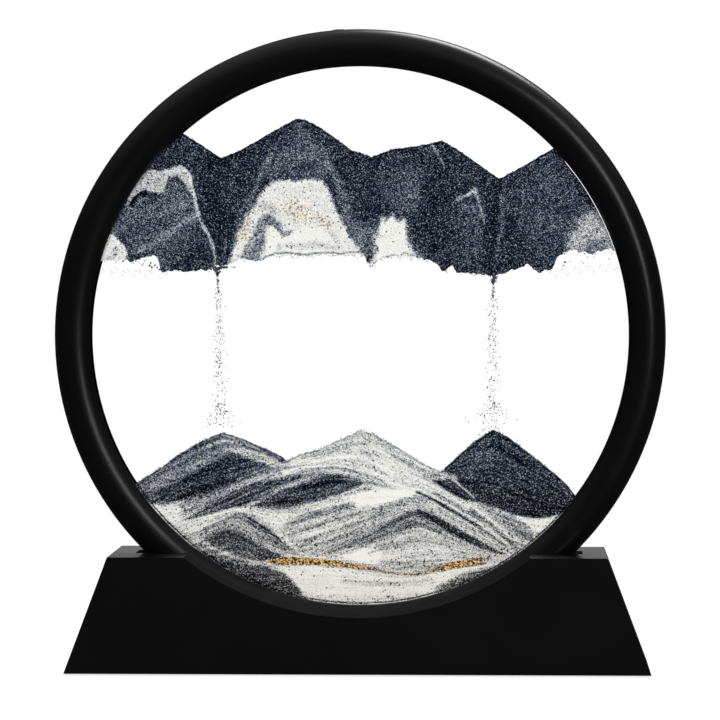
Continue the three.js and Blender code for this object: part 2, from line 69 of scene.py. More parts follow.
# Sizes that no box gives
MM = 0.001
FIT = 0.3 * MM
WINDOW_RADIUS = 78.3 * MM
BASE_TOP_HALF_WIDTH = 71.7 * MM
BASE_WALL = 2.4 * MM
NOTCH_DROP = 2.1 * MM  # from the window's edge down to the notches
TROUGH_SIDE_FIT = 0.4 * MM
NOTCH_RADIUS = WINDOW_RADIUS + NOTCH_DROP
TROUGH_RADIUS = CENTRE.z - liner_low.z + FIT
TROUGH_HALF_WIDTH = RIM_HALF_DEPTH + TROUGH_SIDE_FIT
POCKET_RADIUS = PANE_RADIUS + FIT
CREST_RADIUS = (RIM_RADIUS + WINDOW_RADIUS) / 2
LIP_RISE = RIM_HALF_DEPTH - PANE_OUTSIDE
LIP_GAP = 0.02 * MM  # from a pane to the lip over it
PARTING = 0.04 * MM  # from the middle plane to each half of the rim
SEAM_DEPTH, SEAM_HALF_WIDTH = 0.25 * MM, 0.2 * MM  # groove where the halves meet
COVER_THICKNESS = 2 * MM
COVER_GAP = 0.2 * MM
ARC_ROUNDING, BASE_ROUNDING = 0.25 * MM, 0.6 * MM
ARC_TOLERANCE = 0.4 * MM  # a point of the base this near to an arc lies on it
MERGE = 0.001 * MM  # points this near to each other become one
PANE_BEVEL = 0.2 * MM
PLUG_ANGLE = math.radians(-4)
PLUG_BORE, PLUG_HEIGHT = 1.8 * MM, 1 * MM
PLUG_SINK, PLUG_BEVEL = 0.4 * MM, 0.25 * MM
SHARP_ANGLE = math.radians(40)  # edges that turn by more than this look sharp
ROUND_STEPS = 192  # facets round the rim
ARC_STEPS = 64  # facets of the base's arcs
PROFILE_STEPS = 18  # facets of each quarter of the rim's section

# The landscape: each outline is the upper edge of a layer of sand, from left to right.
# A layer lies under its outline, behind the layers that come after it.
RIM_SHADE = 0.997  # how far out the shade beside the rim lies
LEFT_SPOUT, RIGHT_SPOUT = (-0.529, 0.25), (0.497, 0.219)
LEFT_PEAK, RIGHT_PEAK = (-0.505, -0.365), (0.497, -0.352)
BANK_FOOT = [
    (-1.044, 0.27),
    (-0.992, 0.272), (-0.974, 0.276), (-0.936, 0.281), (-0.914, 0.278), (-0.9, 0.281), (-0.885, 0.289),
    (-0.869, 0.278), (-0.854, 0.27), (-0.84, 0.278), (-0.814, 0.285), (-0.791, 0.292), (-0.776, 0.298),
    (-0.762, 0.298), (-0.752, 0.289), (-0.747, 0.263), (-0.74, 0.237), (-0.687, 0.24), (-0.65, 0.236),
    (-0.602, 0.242), (-0.568, 0.24), (-0.551, 0.246), (-0.545, 0.257), (-0.501, 0.259), (-0.471, 0.266),
    (-0.46, 0.278), (-0.449, 0.287), (-0.415, 0.285), (-0.389, 0.278), (-0.36, 0.281), (-0.345, 0.294),
    (-0.3, 0.298), (-0.225, 0.294), (-0.151, 0.3), (-0.073, 0.298), (-0.028, 0.302), (0.02, 0.296),
    (0.028, 0.272), (0.04, 0.259), (0.054, 0.266), (0.073, 0.281), (0.095, 0.289), (0.129, 0.294),
    (0.162, 0.292), (0.18, 0.289), (0.222, 0.287), (0.262, 0.28), (0.289, 0.264), (0.304, 0.241),
    (0.322, 0.242), (0.341, 0.262), (0.363, 0.234), (0.407, 0.229), (0.46, 0.225), (0.494, 0.218),
    (0.52, 0.225), (0.545, 0.234), (0.568, 0.244), (0.598, 0.253), (0.624, 0.262), (0.647, 0.246),
    (0.665, 0.232), (0.687, 0.244), (0.716, 0.244), (0.727, 0.275), (0.732, 0.289), (0.754, 0.306),
    (0.796, 0.32), (0.814, 0.309), (0.847, 0.305), (0.865, 0.3), (0.881, 0.312), (0.907, 0.319),
    (0.929, 0.321), (0.952, 0.312), (0.989, 0.323),
    (1.044, 0.323),
]
UPPER_LAYERS = {
    "sand_bank": ("sand_navy", [
        (-1.064, 0.46), (-0.661, 0.752), (-0.59, 0.708), (-0.517, 0.658), (-0.442, 0.687), (-0.343, 0.745),
        (-0.236, 0.803), (-0.203, 0.801), (-0.142, 0.769), (-0.075, 0.721), (-0.031, 0.687), (0.026, 0.67),
        (0.045, 0.662), (0.118, 0.69), (0.236, 0.706), (0.307, 0.722), (0.361, 0.691), (0.423, 0.648),
        (0.518, 0.58), (0.608, 0.629), (0.715, 0.691), (1.064, 0.9),
    ]),
    "sand_ridge_left": ("sand_pale", [
        (-1.044, 0.31), (-0.933, 0.455), (-0.825, 0.578), (-0.77, 0.611), (-0.732, 0.604), (-0.678, 0.626),
        (-0.635, 0.613), (-0.62, 0.561), (-0.58, 0.419), (-0.553, 0.34), (-0.536, 0.22),
    ]),
    "sand_slope_left": ("sand_navy", [
        (-1.044, 0.28), (-0.97, 0.375), (-0.889, 0.478), (-0.84, 0.518), (-0.732, 0.538), (-0.716, 0.585),
        (-0.672, 0.59), (-0.647, 0.57), (-0.613, 0.482), (-0.591, 0.419), (-0.564, 0.34), (-0.547, 0.22),
    ]),
    "sand_patch_left": ("sand_pale", [(-1.044, 0.41), (-0.936, 0.382), (-0.877, 0.339), (-0.865, 0.28)]),
    "sand_lens_centre": ("sand_pale", [
        (-0.494, 0.24), (-0.44, 0.41), (-0.367, 0.546), (-0.304, 0.585), (-0.24, 0.566), (-0.175, 0.588),
        (-0.125, 0.553), (-0.097, 0.475), (-0.047, 0.382), (-0.013, 0.3),
    ]),
    "sand_lens_right": ("sand_pale", [
        (0.047, 0.25), (0.058, 0.346), (0.095, 0.432), (0.169, 0.428), (0.177, 0.36), (0.188, 0.28),
    ]),
    "sand_patch_right": ("sand_grey", [
        (0.776, 0.3), (0.799, 0.402), (0.858, 0.453), (0.885, 0.445), (1.044, 0.41),
    ]),
}
LOWER_LAYERS = {
    "sand_dune_left": ("sand_navy", [
        (-0.973, -0.635), (-0.84, -0.557), (-0.734, -0.49), (-0.672, -0.445), (-0.6, -0.401),
        (-0.533, -0.372), LEFT_PEAK, (-0.442, -0.386), (-0.356, -0.422), (-0.299, -0.449), (-0.274, -0.468),
        (-0.114, -0.58),
    ]),
    "sand_dune_right": ("sand_navy", [
        (0.24, -0.563), (0.305, -0.506), (0.419, -0.402), (0.473, -0.366), RIGHT_PEAK, (0.54, -0.373),
        (0.573, -0.394), (0.64, -0.447), (0.74, -0.527), (0.774, -0.56), (0.803, -0.597), (0.929, -0.71),
    ]),
    "sand_dune_centre": ("sand_grey", [
        (-0.896, -0.588), (-0.747, -0.63), (-0.691, -0.633), (-0.647, -0.615), (-0.498, -0.559),
        (-0.356, -0.509), (-0.274, -0.469), (-0.225, -0.447), (-0.147, -0.425), (-0.047, -0.379),
        (0.002, -0.355), (0.054, -0.371), (0.132, -0.414), (0.222, -0.47), (0.271, -0.497), (0.305, -0.509),
        (0.363, -0.544), (0.419, -0.6), (0.467, -0.635), (0.527, -0.654), (0.605, -0.678),
        (0.702, -0.684), (0.818, -0.66),
    ]),
    "sand_dark_band": ("sand_navy", [
        (-0.784, -0.73), (-0.661, -0.69), (-0.631, -0.643), (-0.498, -0.58), (-0.356, -0.524),
        (-0.225, -0.497), (-0.12, -0.507), (-0.002, -0.535), (0.132, -0.572), (0.258, -0.62),
    ]),
    "sand_pale_drift": ("sand_grey", [
        (-0.784, -0.721), (-0.661, -0.693), (-0.498, -0.657), (-0.396, -0.633), (-0.276, -0.633),
        (-0.147, -0.611), (-0.013, -0.551), (0.132, -0.572), (0.22, -0.585), (0.407, -0.691),
        (0.598, -0.792), (0.743, -0.87),
    ]),
    "sand_mound_left": ("sand_grey", [
        (-0.784, -0.784), (-0.598, -0.728), (-0.462, -0.667), (-0.411, -0.68), (-0.304, -0.754),
        (-0.225, -0.807), (-0.114, -0.877),
    ]),
    "sand_mound_right": ("sand_grey", [
        (-0.262, -0.852), (-0.136, -0.81), (0.035, -0.721), (0.22, -0.65), (0.371, -0.728),
        (0.534, -0.81), (0.669, -0.877),
    ]),
    "sand_gold_seam": ("sand_gold", [
        (-0.395, -0.845), (-0.304, -0.825), (-0.211, -0.833), (-0.076, -0.842), (0.051, -0.868),
        (0.134, -0.882), (0.212, -0.884), (0.278, -0.865), (0.363, -0.842), (0.476, -0.829), (0.632, -0.81),
    ]),
    "sand_bed": ("sand_pale", [
        (-0.449, -0.848), (-0.311, -0.857), (-0.211, -0.861), (-0.076, -0.863), (0.051, -0.88),
        (0.134, -0.893), (0.212, -0.895), (0.278, -0.88), (0.363, -0.862), (0.476, -0.85), (0.669, -0.826),
    ]),
    "sand_drift_left": ("sand_navy", [
        (-0.858, -0.673), (-0.68, -0.728), (-0.494, -0.814), (-0.356, -0.836), (-0.276, -0.887),
        (-0.211, -0.963), (-0.169, -1.034),
    ]),
    "sand_drift_right": ("sand_grey", [
        (0.24, -1.01), (0.291, -0.946), (0.349, -0.907), (0.419, -0.872), (0.489, -0.85), (0.669, -0.81),
    ]),
}

# Lines that the laminae of the lower sand follow, from the skyline down to the floor of the chamber
STRATA = [
    [(-0.933, -0.617), (-0.84, -0.555), (-0.672, -0.446), (-0.6, -0.402), (-0.512, -0.365),
     (-0.43, -0.39), (-0.337, -0.442), (-0.274, -0.471), (-0.225, -0.456), (-0.114, -0.419),
     (-0.04, -0.374), (0.002, -0.358), (0.051, -0.374), (0.147, -0.43), (0.222, -0.471), (0.305, -0.509),
     (0.389, -0.43), (0.464, -0.371), (0.496, -0.358), (0.531, -0.371), (0.631, -0.449), (0.725, -0.52),
     (0.803, -0.598), (0.929, -0.691)],
    [(-0.933, -0.673), (-0.787, -0.617), (-0.691, -0.632), (-0.647, -0.613), (-0.498, -0.557),
     (-0.356, -0.497), (-0.274, -0.473), (-0.225, -0.458), (-0.114, -0.421), (0.002, -0.36),
     (0.147, -0.432), (0.304, -0.512), (0.363, -0.546), (0.467, -0.635), (0.605, -0.678), (0.702, -0.684),
     (0.799, -0.661), (0.929, -0.661)],
    [(-0.933, -0.728), (-0.784, -0.684), (-0.661, -0.654), (-0.542, -0.609), (-0.427, -0.553),
     (-0.326, -0.516), (-0.225, -0.49), (-0.095, -0.479), (-0.031, -0.49), (0.051, -0.527),
     (0.136, -0.561), (0.222, -0.576), (0.315, -0.613), (0.407, -0.661), (0.52, -0.713), (0.631, -0.754),
     (0.78, -0.803)],
    [(-0.933, -0.766), (-0.747, -0.732), (-0.661, -0.687), (-0.516, -0.635), (-0.411, -0.587),
     (-0.318, -0.553), (-0.225, -0.527), (-0.151, -0.512), (-0.091, -0.51), (-0.04, -0.523),
     (0.024, -0.546), (0.102, -0.568), (0.184, -0.583), (0.222, -0.587), (0.289, -0.628), (0.363, -0.673),
     (0.464, -0.721), (0.556, -0.766), (0.743, -0.84)],
    [(-0.933, -0.784), (-0.747, -0.751), (-0.635, -0.687), (-0.494, -0.658), (-0.393, -0.635),
     (-0.304, -0.639), (-0.233, -0.635), (-0.147, -0.613), (-0.058, -0.579), (0.024, -0.551),
     (0.109, -0.576), (0.222, -0.596), (0.296, -0.639), (0.371, -0.687), (0.464, -0.736), (0.556, -0.784),
     (0.743, -0.863)],
    [(-0.933, -0.81), (-0.747, -0.777), (-0.598, -0.706), (-0.464, -0.665), (-0.411, -0.687),
     (-0.356, -0.721), (-0.3, -0.747), (-0.225, -0.717), (-0.114, -0.673), (0.035, -0.639),
     (0.147, -0.624), (0.222, -0.628), (0.296, -0.673), (0.407, -0.74), (0.52, -0.799), (0.743, -0.896)],
    [(-0.933, -0.859), (-0.747, -0.803), (-0.598, -0.751), (-0.464, -0.713), (-0.393, -0.754),
     (-0.318, -0.799), (-0.225, -0.822), (-0.136, -0.81), (-0.04, -0.766), (0.073, -0.71),
     (0.166, -0.673), (0.222, -0.654), (0.278, -0.684), (0.371, -0.743), (0.464, -0.788), (0.534, -0.81),
     (0.743, -0.907)],
    [(-0.933, -0.915), (-0.747, -0.848), (-0.598, -0.799), (-0.449, -0.784), (-0.337, -0.827),
     (-0.225, -0.829), (-0.114, -0.827), (-0.04, -0.82), (0.013, -0.81), (0.109, -0.781),
     (0.222, -0.769), (0.315, -0.784), (0.419, -0.807), (0.52, -0.825), (0.743, -0.922)],
    [(-0.933, -0.971), (-0.747, -0.885), (-0.598, -0.844), (-0.449, -0.829), (-0.349, -0.84),
     (-0.225, -0.848), (-0.076, -0.855), (0.051, -0.874), (0.132, -0.889), (0.211, -0.889), (0.278, -0.874),
     (0.352, -0.855), (0.445, -0.844), (0.512, -0.836), (0.743, -0.937)],
    [(-0.933, -1.138), (-0.598, -1.008), (-0.262, -0.952), (-0.002, -0.952), (0.258, -0.944),
     (0.52, -0.907), (0.743, -0.989)],
    [(-0.933, -1.362), (-0.449, -1.138), (-0.002, -1.034), (0.445, -1.138), (0.929, -1.362)],
]

# Brush marks that colour the sand, from the first to the last laid on: a name, the width of a line in
# millimetres (none for a filled patch), the blur of its edge in millimetres, how pale it is, how much
# gold is in it, and its points
UPPER_BRUSHES = [
    ("dark column over the left spout", 6.5, 5, 0.165, 0, [
        (-0.52, 0.64), (-0.542, 0.54), (-0.527, 0.42), (-0.512, 0.27),
    ]),
    ("haze under the middle peak", 0, 6, 0.35, 0, [
        (-0.285, 0.695), (-0.262, 0.745), (-0.222, 0.775), (-0.175, 0.752), (-0.129, 0.69),
        (-0.106, 0.62), (-0.143, 0.605), (-0.225, 0.62), (-0.3, 0.605), (-0.325, 0.632),
    ]),
    ("dusk over the middle lens", 3, 4, 0.34, 0, [
        (-0.315, 0.602), (-0.225, 0.605), (-0.136, 0.602),
    ]),
    ("left leg of the arch", 1.6, 1.8, 0.42, 0, [
        (-0.46, 0.36), (-0.442, 0.419), (-0.423, 0.471), (-0.396, 0.52), (-0.374, 0.576),
        (-0.356, 0.624), (-0.337, 0.661), (-0.311, 0.695),
    ]),
    ("right leg of the arch", 1.8, 2.2, 0.4, 0, [
        (-0.188, 0.702), (-0.151, 0.68), (-0.125, 0.65), (-0.106, 0.613), (-0.084, 0.568),
        (-0.062, 0.516), (-0.047, 0.464),
    ]),
    ("haze right of the middle lens", 0, 4, 0.38, 0, [
        (-0.076, 0.509), (-0.047, 0.482), (-0.02, 0.442), (0.009, 0.419), (0.054, 0.415), (0.051, 0.352),
        (0.02, 0.311), (-0.009, 0.315), (-0.04, 0.382),
    ]),
    ("grey slope on the left", 0, 1.8, 0.31, 0, [
        (-0.933, 0.397), (-0.896, 0.464), (-0.858, 0.49), (-0.843, 0.501), (-0.821, 0.531),
        (-0.784, 0.527), (-0.74, 0.527), (-0.725, 0.568), (-0.709, 0.587), (-0.672, 0.587), (-0.642, 0.546),
        (-0.616, 0.501), (-0.598, 0.449), (-0.591, 0.419), (-0.568, 0.367), (-0.549, 0.315),
        (-0.545, 0.248), (-0.747, 0.24), (-0.754, 0.3), (-0.791, 0.315), (-0.836, 0.3), (-0.858, 0.307),
        (-0.865, 0.352), (-0.903, 0.382),
    ]),
    ("dark foot of the grey slope", 0, 3, 0.21, 0, [
        (-0.72, 0.248), (-0.69, 0.312), (-0.662, 0.358), (-0.616, 0.408), (-0.583, 0.367),
        (-0.553, 0.307), (-0.549, 0.24),
    ]),
    ("broad veil on the slope", 3.5, 3.5, 0.36, 0, [
        (-0.889, 0.442), (-0.803, 0.456), (-0.728, 0.479), (-0.65, 0.512),
    ]),
    ("upper veil on the slope", 2, 2.4, 0.42, 0, [
        (-0.732, 0.456), (-0.672, 0.479), (-0.624, 0.501),
    ]),
    ("lower veil on the slope", 1.5, 1.7, 0.54, 0, [
        (-0.821, 0.315), (-0.784, 0.33), (-0.754, 0.352), (-0.716, 0.378), (-0.672, 0.404), (-0.635, 0.43),
        (-0.602, 0.442),
    ]),
    ("grey streak by the rim", 1.4, 1.6, 0.46, 0, [
        (-0.956, 0.386), (-0.918, 0.397), (-0.889, 0.404),
    ]),
    ("dark notch under the ridge", 1.4, 0.8, 0.1, 0, [
        (-0.851, 0.486), (-0.836, 0.512), (-0.821, 0.531), (-0.803, 0.52), (-0.787, 0.538),
    ]),
    ("shade under the ridge", 0.9, 0.8, 0.2, 0, [
        (-0.784, 0.523), (-0.74, 0.523), (-0.725, 0.557), (-0.713, 0.583), (-0.687, 0.583),
        (-0.665, 0.576), (-0.642, 0.542),
    ]),
    ("streak under the ridge", 0.5, 0.6, 0.5, 0, [
        (-0.818, 0.503), (-0.784, 0.512),
    ]),
    ("pale ridge", 0, 0.7, 0.71, 0, [
        (-0.874, 0.479), (-0.854, 0.527), (-0.832, 0.568), (-0.807, 0.598), (-0.784, 0.615),
        (-0.765, 0.618), (-0.747, 0.609), (-0.728, 0.611), (-0.709, 0.62), (-0.691, 0.626), (-0.669, 0.63),
        (-0.647, 0.624), (-0.631, 0.609), (-0.624, 0.583), (-0.62, 0.557), (-0.613, 0.527),
        (-0.605, 0.494), (-0.616, 0.501), (-0.631, 0.531), (-0.647, 0.561), (-0.665, 0.581),
        (-0.68, 0.591), (-0.702, 0.587), (-0.708, 0.592), (-0.716, 0.574), (-0.723, 0.548),
        (-0.733, 0.527), (-0.784, 0.531), (-0.796, 0.54), (-0.818, 0.535), (-0.84, 0.516),
        (-0.858, 0.486),
    ]),
    ("grey mottle in the ridge", 3, 2.6, 0.68, 0, [
        (-0.807, 0.579), (-0.776, 0.557), (-0.754, 0.572),
    ]),
    ("light along the ridge", 1.1, 1.1, 0.8, 0, [
        (-0.721, 0.609), (-0.68, 0.618), (-0.647, 0.611), (-0.629, 0.583),
    ]),
    ("white tail of the ridge", 0.7, 0.8, 0.72, 0, [
        (-0.624, 0.561), (-0.614, 0.52), (-0.605, 0.475), (-0.594, 0.43), (-0.576, 0.397), (-0.556, 0.36),
        (-0.542, 0.322), (-0.536, 0.292), (-0.538, 0.251),
    ]),
    ("white patch by the rim", 0, 0.9, 0.88, 0, [
        (-0.992, 0.27), (-0.97, 0.33), (-0.94, 0.374), (-0.918, 0.378), (-0.896, 0.356),
        (-0.877, 0.333), (-0.865, 0.307), (-0.867, 0.27), (-0.925, 0.27),
    ]),
    ("grey in the white patch", 1.2, 1.6, 0.7, 0, [
        (-0.907, 0.319), (-0.914, 0.296), (-0.933, 0.285),
    ]),
    ("lining of the left spout", 0.5, 0.7, 0.4, 0, [
        (-0.498, 0.36), (-0.499, 0.315), (-0.505, 0.278), (-0.516, 0.255),
    ]),
    ("dark gap beside the middle lens", 1.1, 1.2, 0.22, 0, [
        (-0.442, 0.43), (-0.419, 0.471), (-0.396, 0.505), (-0.378, 0.538), (-0.352, 0.572),
    ]),
    ("middle lens", 0, 1.6, 0.87, 0, [
        (-0.489, 0.263), (-0.471, 0.315), (-0.453, 0.367), (-0.438, 0.412), (-0.419, 0.449),
        (-0.393, 0.482), (-0.374, 0.516), (-0.36, 0.538), (-0.34, 0.556), (-0.318, 0.572),
        (-0.281, 0.579), (-0.251, 0.577), (-0.233, 0.572), (-0.207, 0.578), (-0.169, 0.58),
        (-0.136, 0.571), (-0.112, 0.547), (-0.102, 0.512), (-0.091, 0.479), (-0.076, 0.442),
        (-0.053, 0.401), (-0.032, 0.364), (-0.006, 0.33), (0.026, 0.294), (-0.058, 0.263), (-0.225, 0.263),
        (-0.367, 0.255), (-0.449, 0.263),
    ]),
    ("cream of the middle lens", 0, 3, 0.86, 0, [
        (-0.329, 0.546), (-0.281, 0.561), (-0.244, 0.546), (-0.207, 0.557), (-0.151, 0.557),
        (-0.125, 0.516), (-0.106, 0.468), (-0.143, 0.46), (-0.196, 0.486), (-0.247, 0.505),
        (-0.3, 0.494), (-0.337, 0.505),
    ]),
    ("gold in the middle of the lens", 0, 3, 0.87, 0.42, [
        (-0.285, 0.486), (-0.244, 0.505), (-0.214, 0.494), (-0.184, 0.46), (-0.155, 0.445),
        (-0.18, 0.423), (-0.225, 0.419), (-0.274, 0.434),
    ]),
    ("gold on the left of the lens", 0, 1.6, 0.8, 0.4, [
        (-0.449, 0.371), (-0.427, 0.423), (-0.404, 0.449), (-0.4, 0.423), (-0.415, 0.367),
        (-0.43, 0.337),
    ]),
    ("gold on the right of the lens", 0, 1.8, 0.82, 0.32, [
        (-0.173, 0.449), (-0.132, 0.438), (-0.102, 0.423), (-0.109, 0.393), (-0.147, 0.412),
    ]),
    ("specks over the arch of the lens", 2, 2.2, 0.75, 0.15, [
        (-0.385, 0.471), (-0.352, 0.486), (-0.318, 0.464),
    ]),
    ("grey arch in the lens", 0, 1.2, 0.49, 0, [
        (-0.453, 0.274), (-0.431, 0.318), (-0.406, 0.356), (-0.388, 0.393), (-0.374, 0.43),
        (-0.36, 0.445), (-0.337, 0.451), (-0.315, 0.44), (-0.296, 0.419), (-0.287, 0.393),
        (-0.278, 0.38), (-0.255, 0.387), (-0.262, 0.371), (-0.285, 0.367), (-0.304, 0.387), (-0.322, 0.406),
        (-0.341, 0.41), (-0.352, 0.393), (-0.35, 0.36), (-0.355, 0.326), (-0.372, 0.278), (-0.411, 0.27),
    ]),
    ("streak in the arch", 0.6, 0.9, 0.62, 0, [
        (-0.423, 0.289), (-0.407, 0.326), (-0.393, 0.363),
    ]),
    ("white hollow in the lens", 0, 1.2, 0.93, 0, [
        (-0.35, 0.27), (-0.343, 0.333), (-0.339, 0.374), (-0.333, 0.397), (-0.311, 0.389),
        (-0.289, 0.365), (-0.258, 0.371), (-0.233, 0.391), (-0.196, 0.404), (-0.158, 0.404),
        (-0.129, 0.386), (-0.106, 0.356), (-0.087, 0.326), (-0.073, 0.292),
    ]),
    ("smudge in the lens", 0.9, 0.9, 0.5, 0, [
        (-0.281, 0.374), (-0.258, 0.384),
    ]),
    ("specks at the lens foot", 1.6, 2.2, 0.79, 0, [
        (-0.3, 0.326), (-0.244, 0.333), (-0.188, 0.332), (-0.132, 0.335), (-0.098, 0.322),
    ]),
    ("line inside the lens", 0.5, 0.9, 0.75, 0, [
        (-0.109, 0.386), (-0.091, 0.356), (-0.076, 0.322),
    ]),
    ("line at the lens foot", 0.45, 0.5, 0.43, 0, [
        (-0.367, 0.274), (-0.349, 0.291), (-0.315, 0.304), (-0.262, 0.307), (-0.207, 0.298),
        (-0.151, 0.307), (-0.095, 0.307), (-0.073, 0.302), (-0.04, 0.309), (-0.002, 0.309),
    ]),
    ("veil in the right bank", 0, 6, 0.32, 0, [
        (0.095, 0.605), (0.147, 0.635), (0.207, 0.624), (0.24, 0.576), (0.244, 0.501), (0.203, 0.471),
        (0.147, 0.471), (0.098, 0.486), (0.08, 0.538),
    ]),
    ("bright spot of the veil", 2, 3, 0.38, 0, [
        (0.225, 0.538), (0.229, 0.497),
    ]),
    ("dark stretch of the right bank", 8.5, 5, 0.18, 0, [
        (0.289, 0.62), (0.281, 0.501), (0.267, 0.371),
    ]),
    ("column under the bracket", 0, 3, 0.255, 0, [
        (0.378, 0.456), (0.445, 0.449), (0.467, 0.333), (0.478, 0.248), (0.385, 0.263), (0.37, 0.352),
    ]),
    ("open stretch of the right bank", 0, 6, 0.27, 0, [
        (0.594, 0.613), (0.705, 0.669), (0.787, 0.594), (0.869, 0.475), (0.807, 0.404), (0.765, 0.333),
        (0.687, 0.315), (0.613, 0.345), (0.579, 0.464),
    ]),
    ("dark funnel over the spout", 3.5, 3, 0.15, 0, [
        (0.516, 0.557), (0.509, 0.464), (0.499, 0.371), (0.494, 0.248),
    ]),
    ("dark side of the funnel", 1.8, 2, 0.18, 0, [
        (0.471, 0.501), (0.475, 0.408), (0.478, 0.315),
    ]),
    ("dark fold right of the funnel", 2.2, 3, 0.2, 0, [
        (0.572, 0.501), (0.56, 0.408), (0.549, 0.307),
    ]),
    ("grey line of the funnel", 1, 1.4, 0.34, 0, [
        (0.533, 0.561), (0.529, 0.482), (0.527, 0.408), (0.516, 0.333), (0.503, 0.255),
    ]),
    ("pale scratch", 0.55, 0.7, 0.63, 0, [
        (0.269, 0.71), (0.285, 0.684), (0.3, 0.658), (0.315, 0.624),
    ]),
    ("light under the bracket", 0, 3, 0.38, 0, [
        (0.378, 0.486), (0.4, 0.497), (0.438, 0.482), (0.449, 0.453), (0.407, 0.453), (0.386, 0.464),
    ]),
    ("bracket top", 0.9, 0.8, 0.68, 0, [
        (0.36, 0.503), (0.382, 0.514), (0.407, 0.525), (0.429, 0.54),
    ]),
    ("bracket side", 0.7, 0.8, 0.63, 0, [
        (0.429, 0.54), (0.44, 0.512), (0.449, 0.475), (0.458, 0.442), (0.464, 0.415),
    ]),
    ("small lens", 0, 2.8, 0.91, 0, [
        (0.031, 0.24), (0.049, 0.3), (0.056, 0.352), (0.063, 0.38), (0.077, 0.408), (0.09, 0.434),
        (0.11, 0.444), (0.133, 0.434), (0.155, 0.424), (0.168, 0.432), (0.176, 0.396), (0.18, 0.36),
        (0.188, 0.326), (0.207, 0.304), (0.247, 0.263), (0.147, 0.255), (0.087, 0.248),
    ]),
    ("line at the small lens foot", 0.5, 0.6, 0.5, 0, [
        (0.054, 0.266), (0.098, 0.289), (0.121, 0.298), (0.147, 0.292), (0.166, 0.306), (0.196, 0.296),
    ]),
    ("grey patch by the rim", 0, 3.2, 0.65, 0, [
        (0.765, 0.333), (0.787, 0.386), (0.81, 0.423), (0.84, 0.449), (0.869, 0.46), (0.9, 0.46),
        (0.929, 0.419), (0.956, 0.371), (0.981, 0.307), (0.892, 0.3), (0.836, 0.3), (0.787, 0.311),
    ]),
    ("dark heart of the grey patch", 0, 2, 0.4, 0, [
        (0.825, 0.307), (0.843, 0.345), (0.877, 0.36), (0.907, 0.352), (0.922, 0.326), (0.892, 0.3),
    ]),
    ("dark line along the bank top", 0.7, 0.8, 0.12, 0, UPPER_LAYERS["sand_bank"][1]),
    ("shade along the skyline", 0.3, 0.5, 0.08, 0, UPPER_LAYERS["sand_bank"][1]),
]
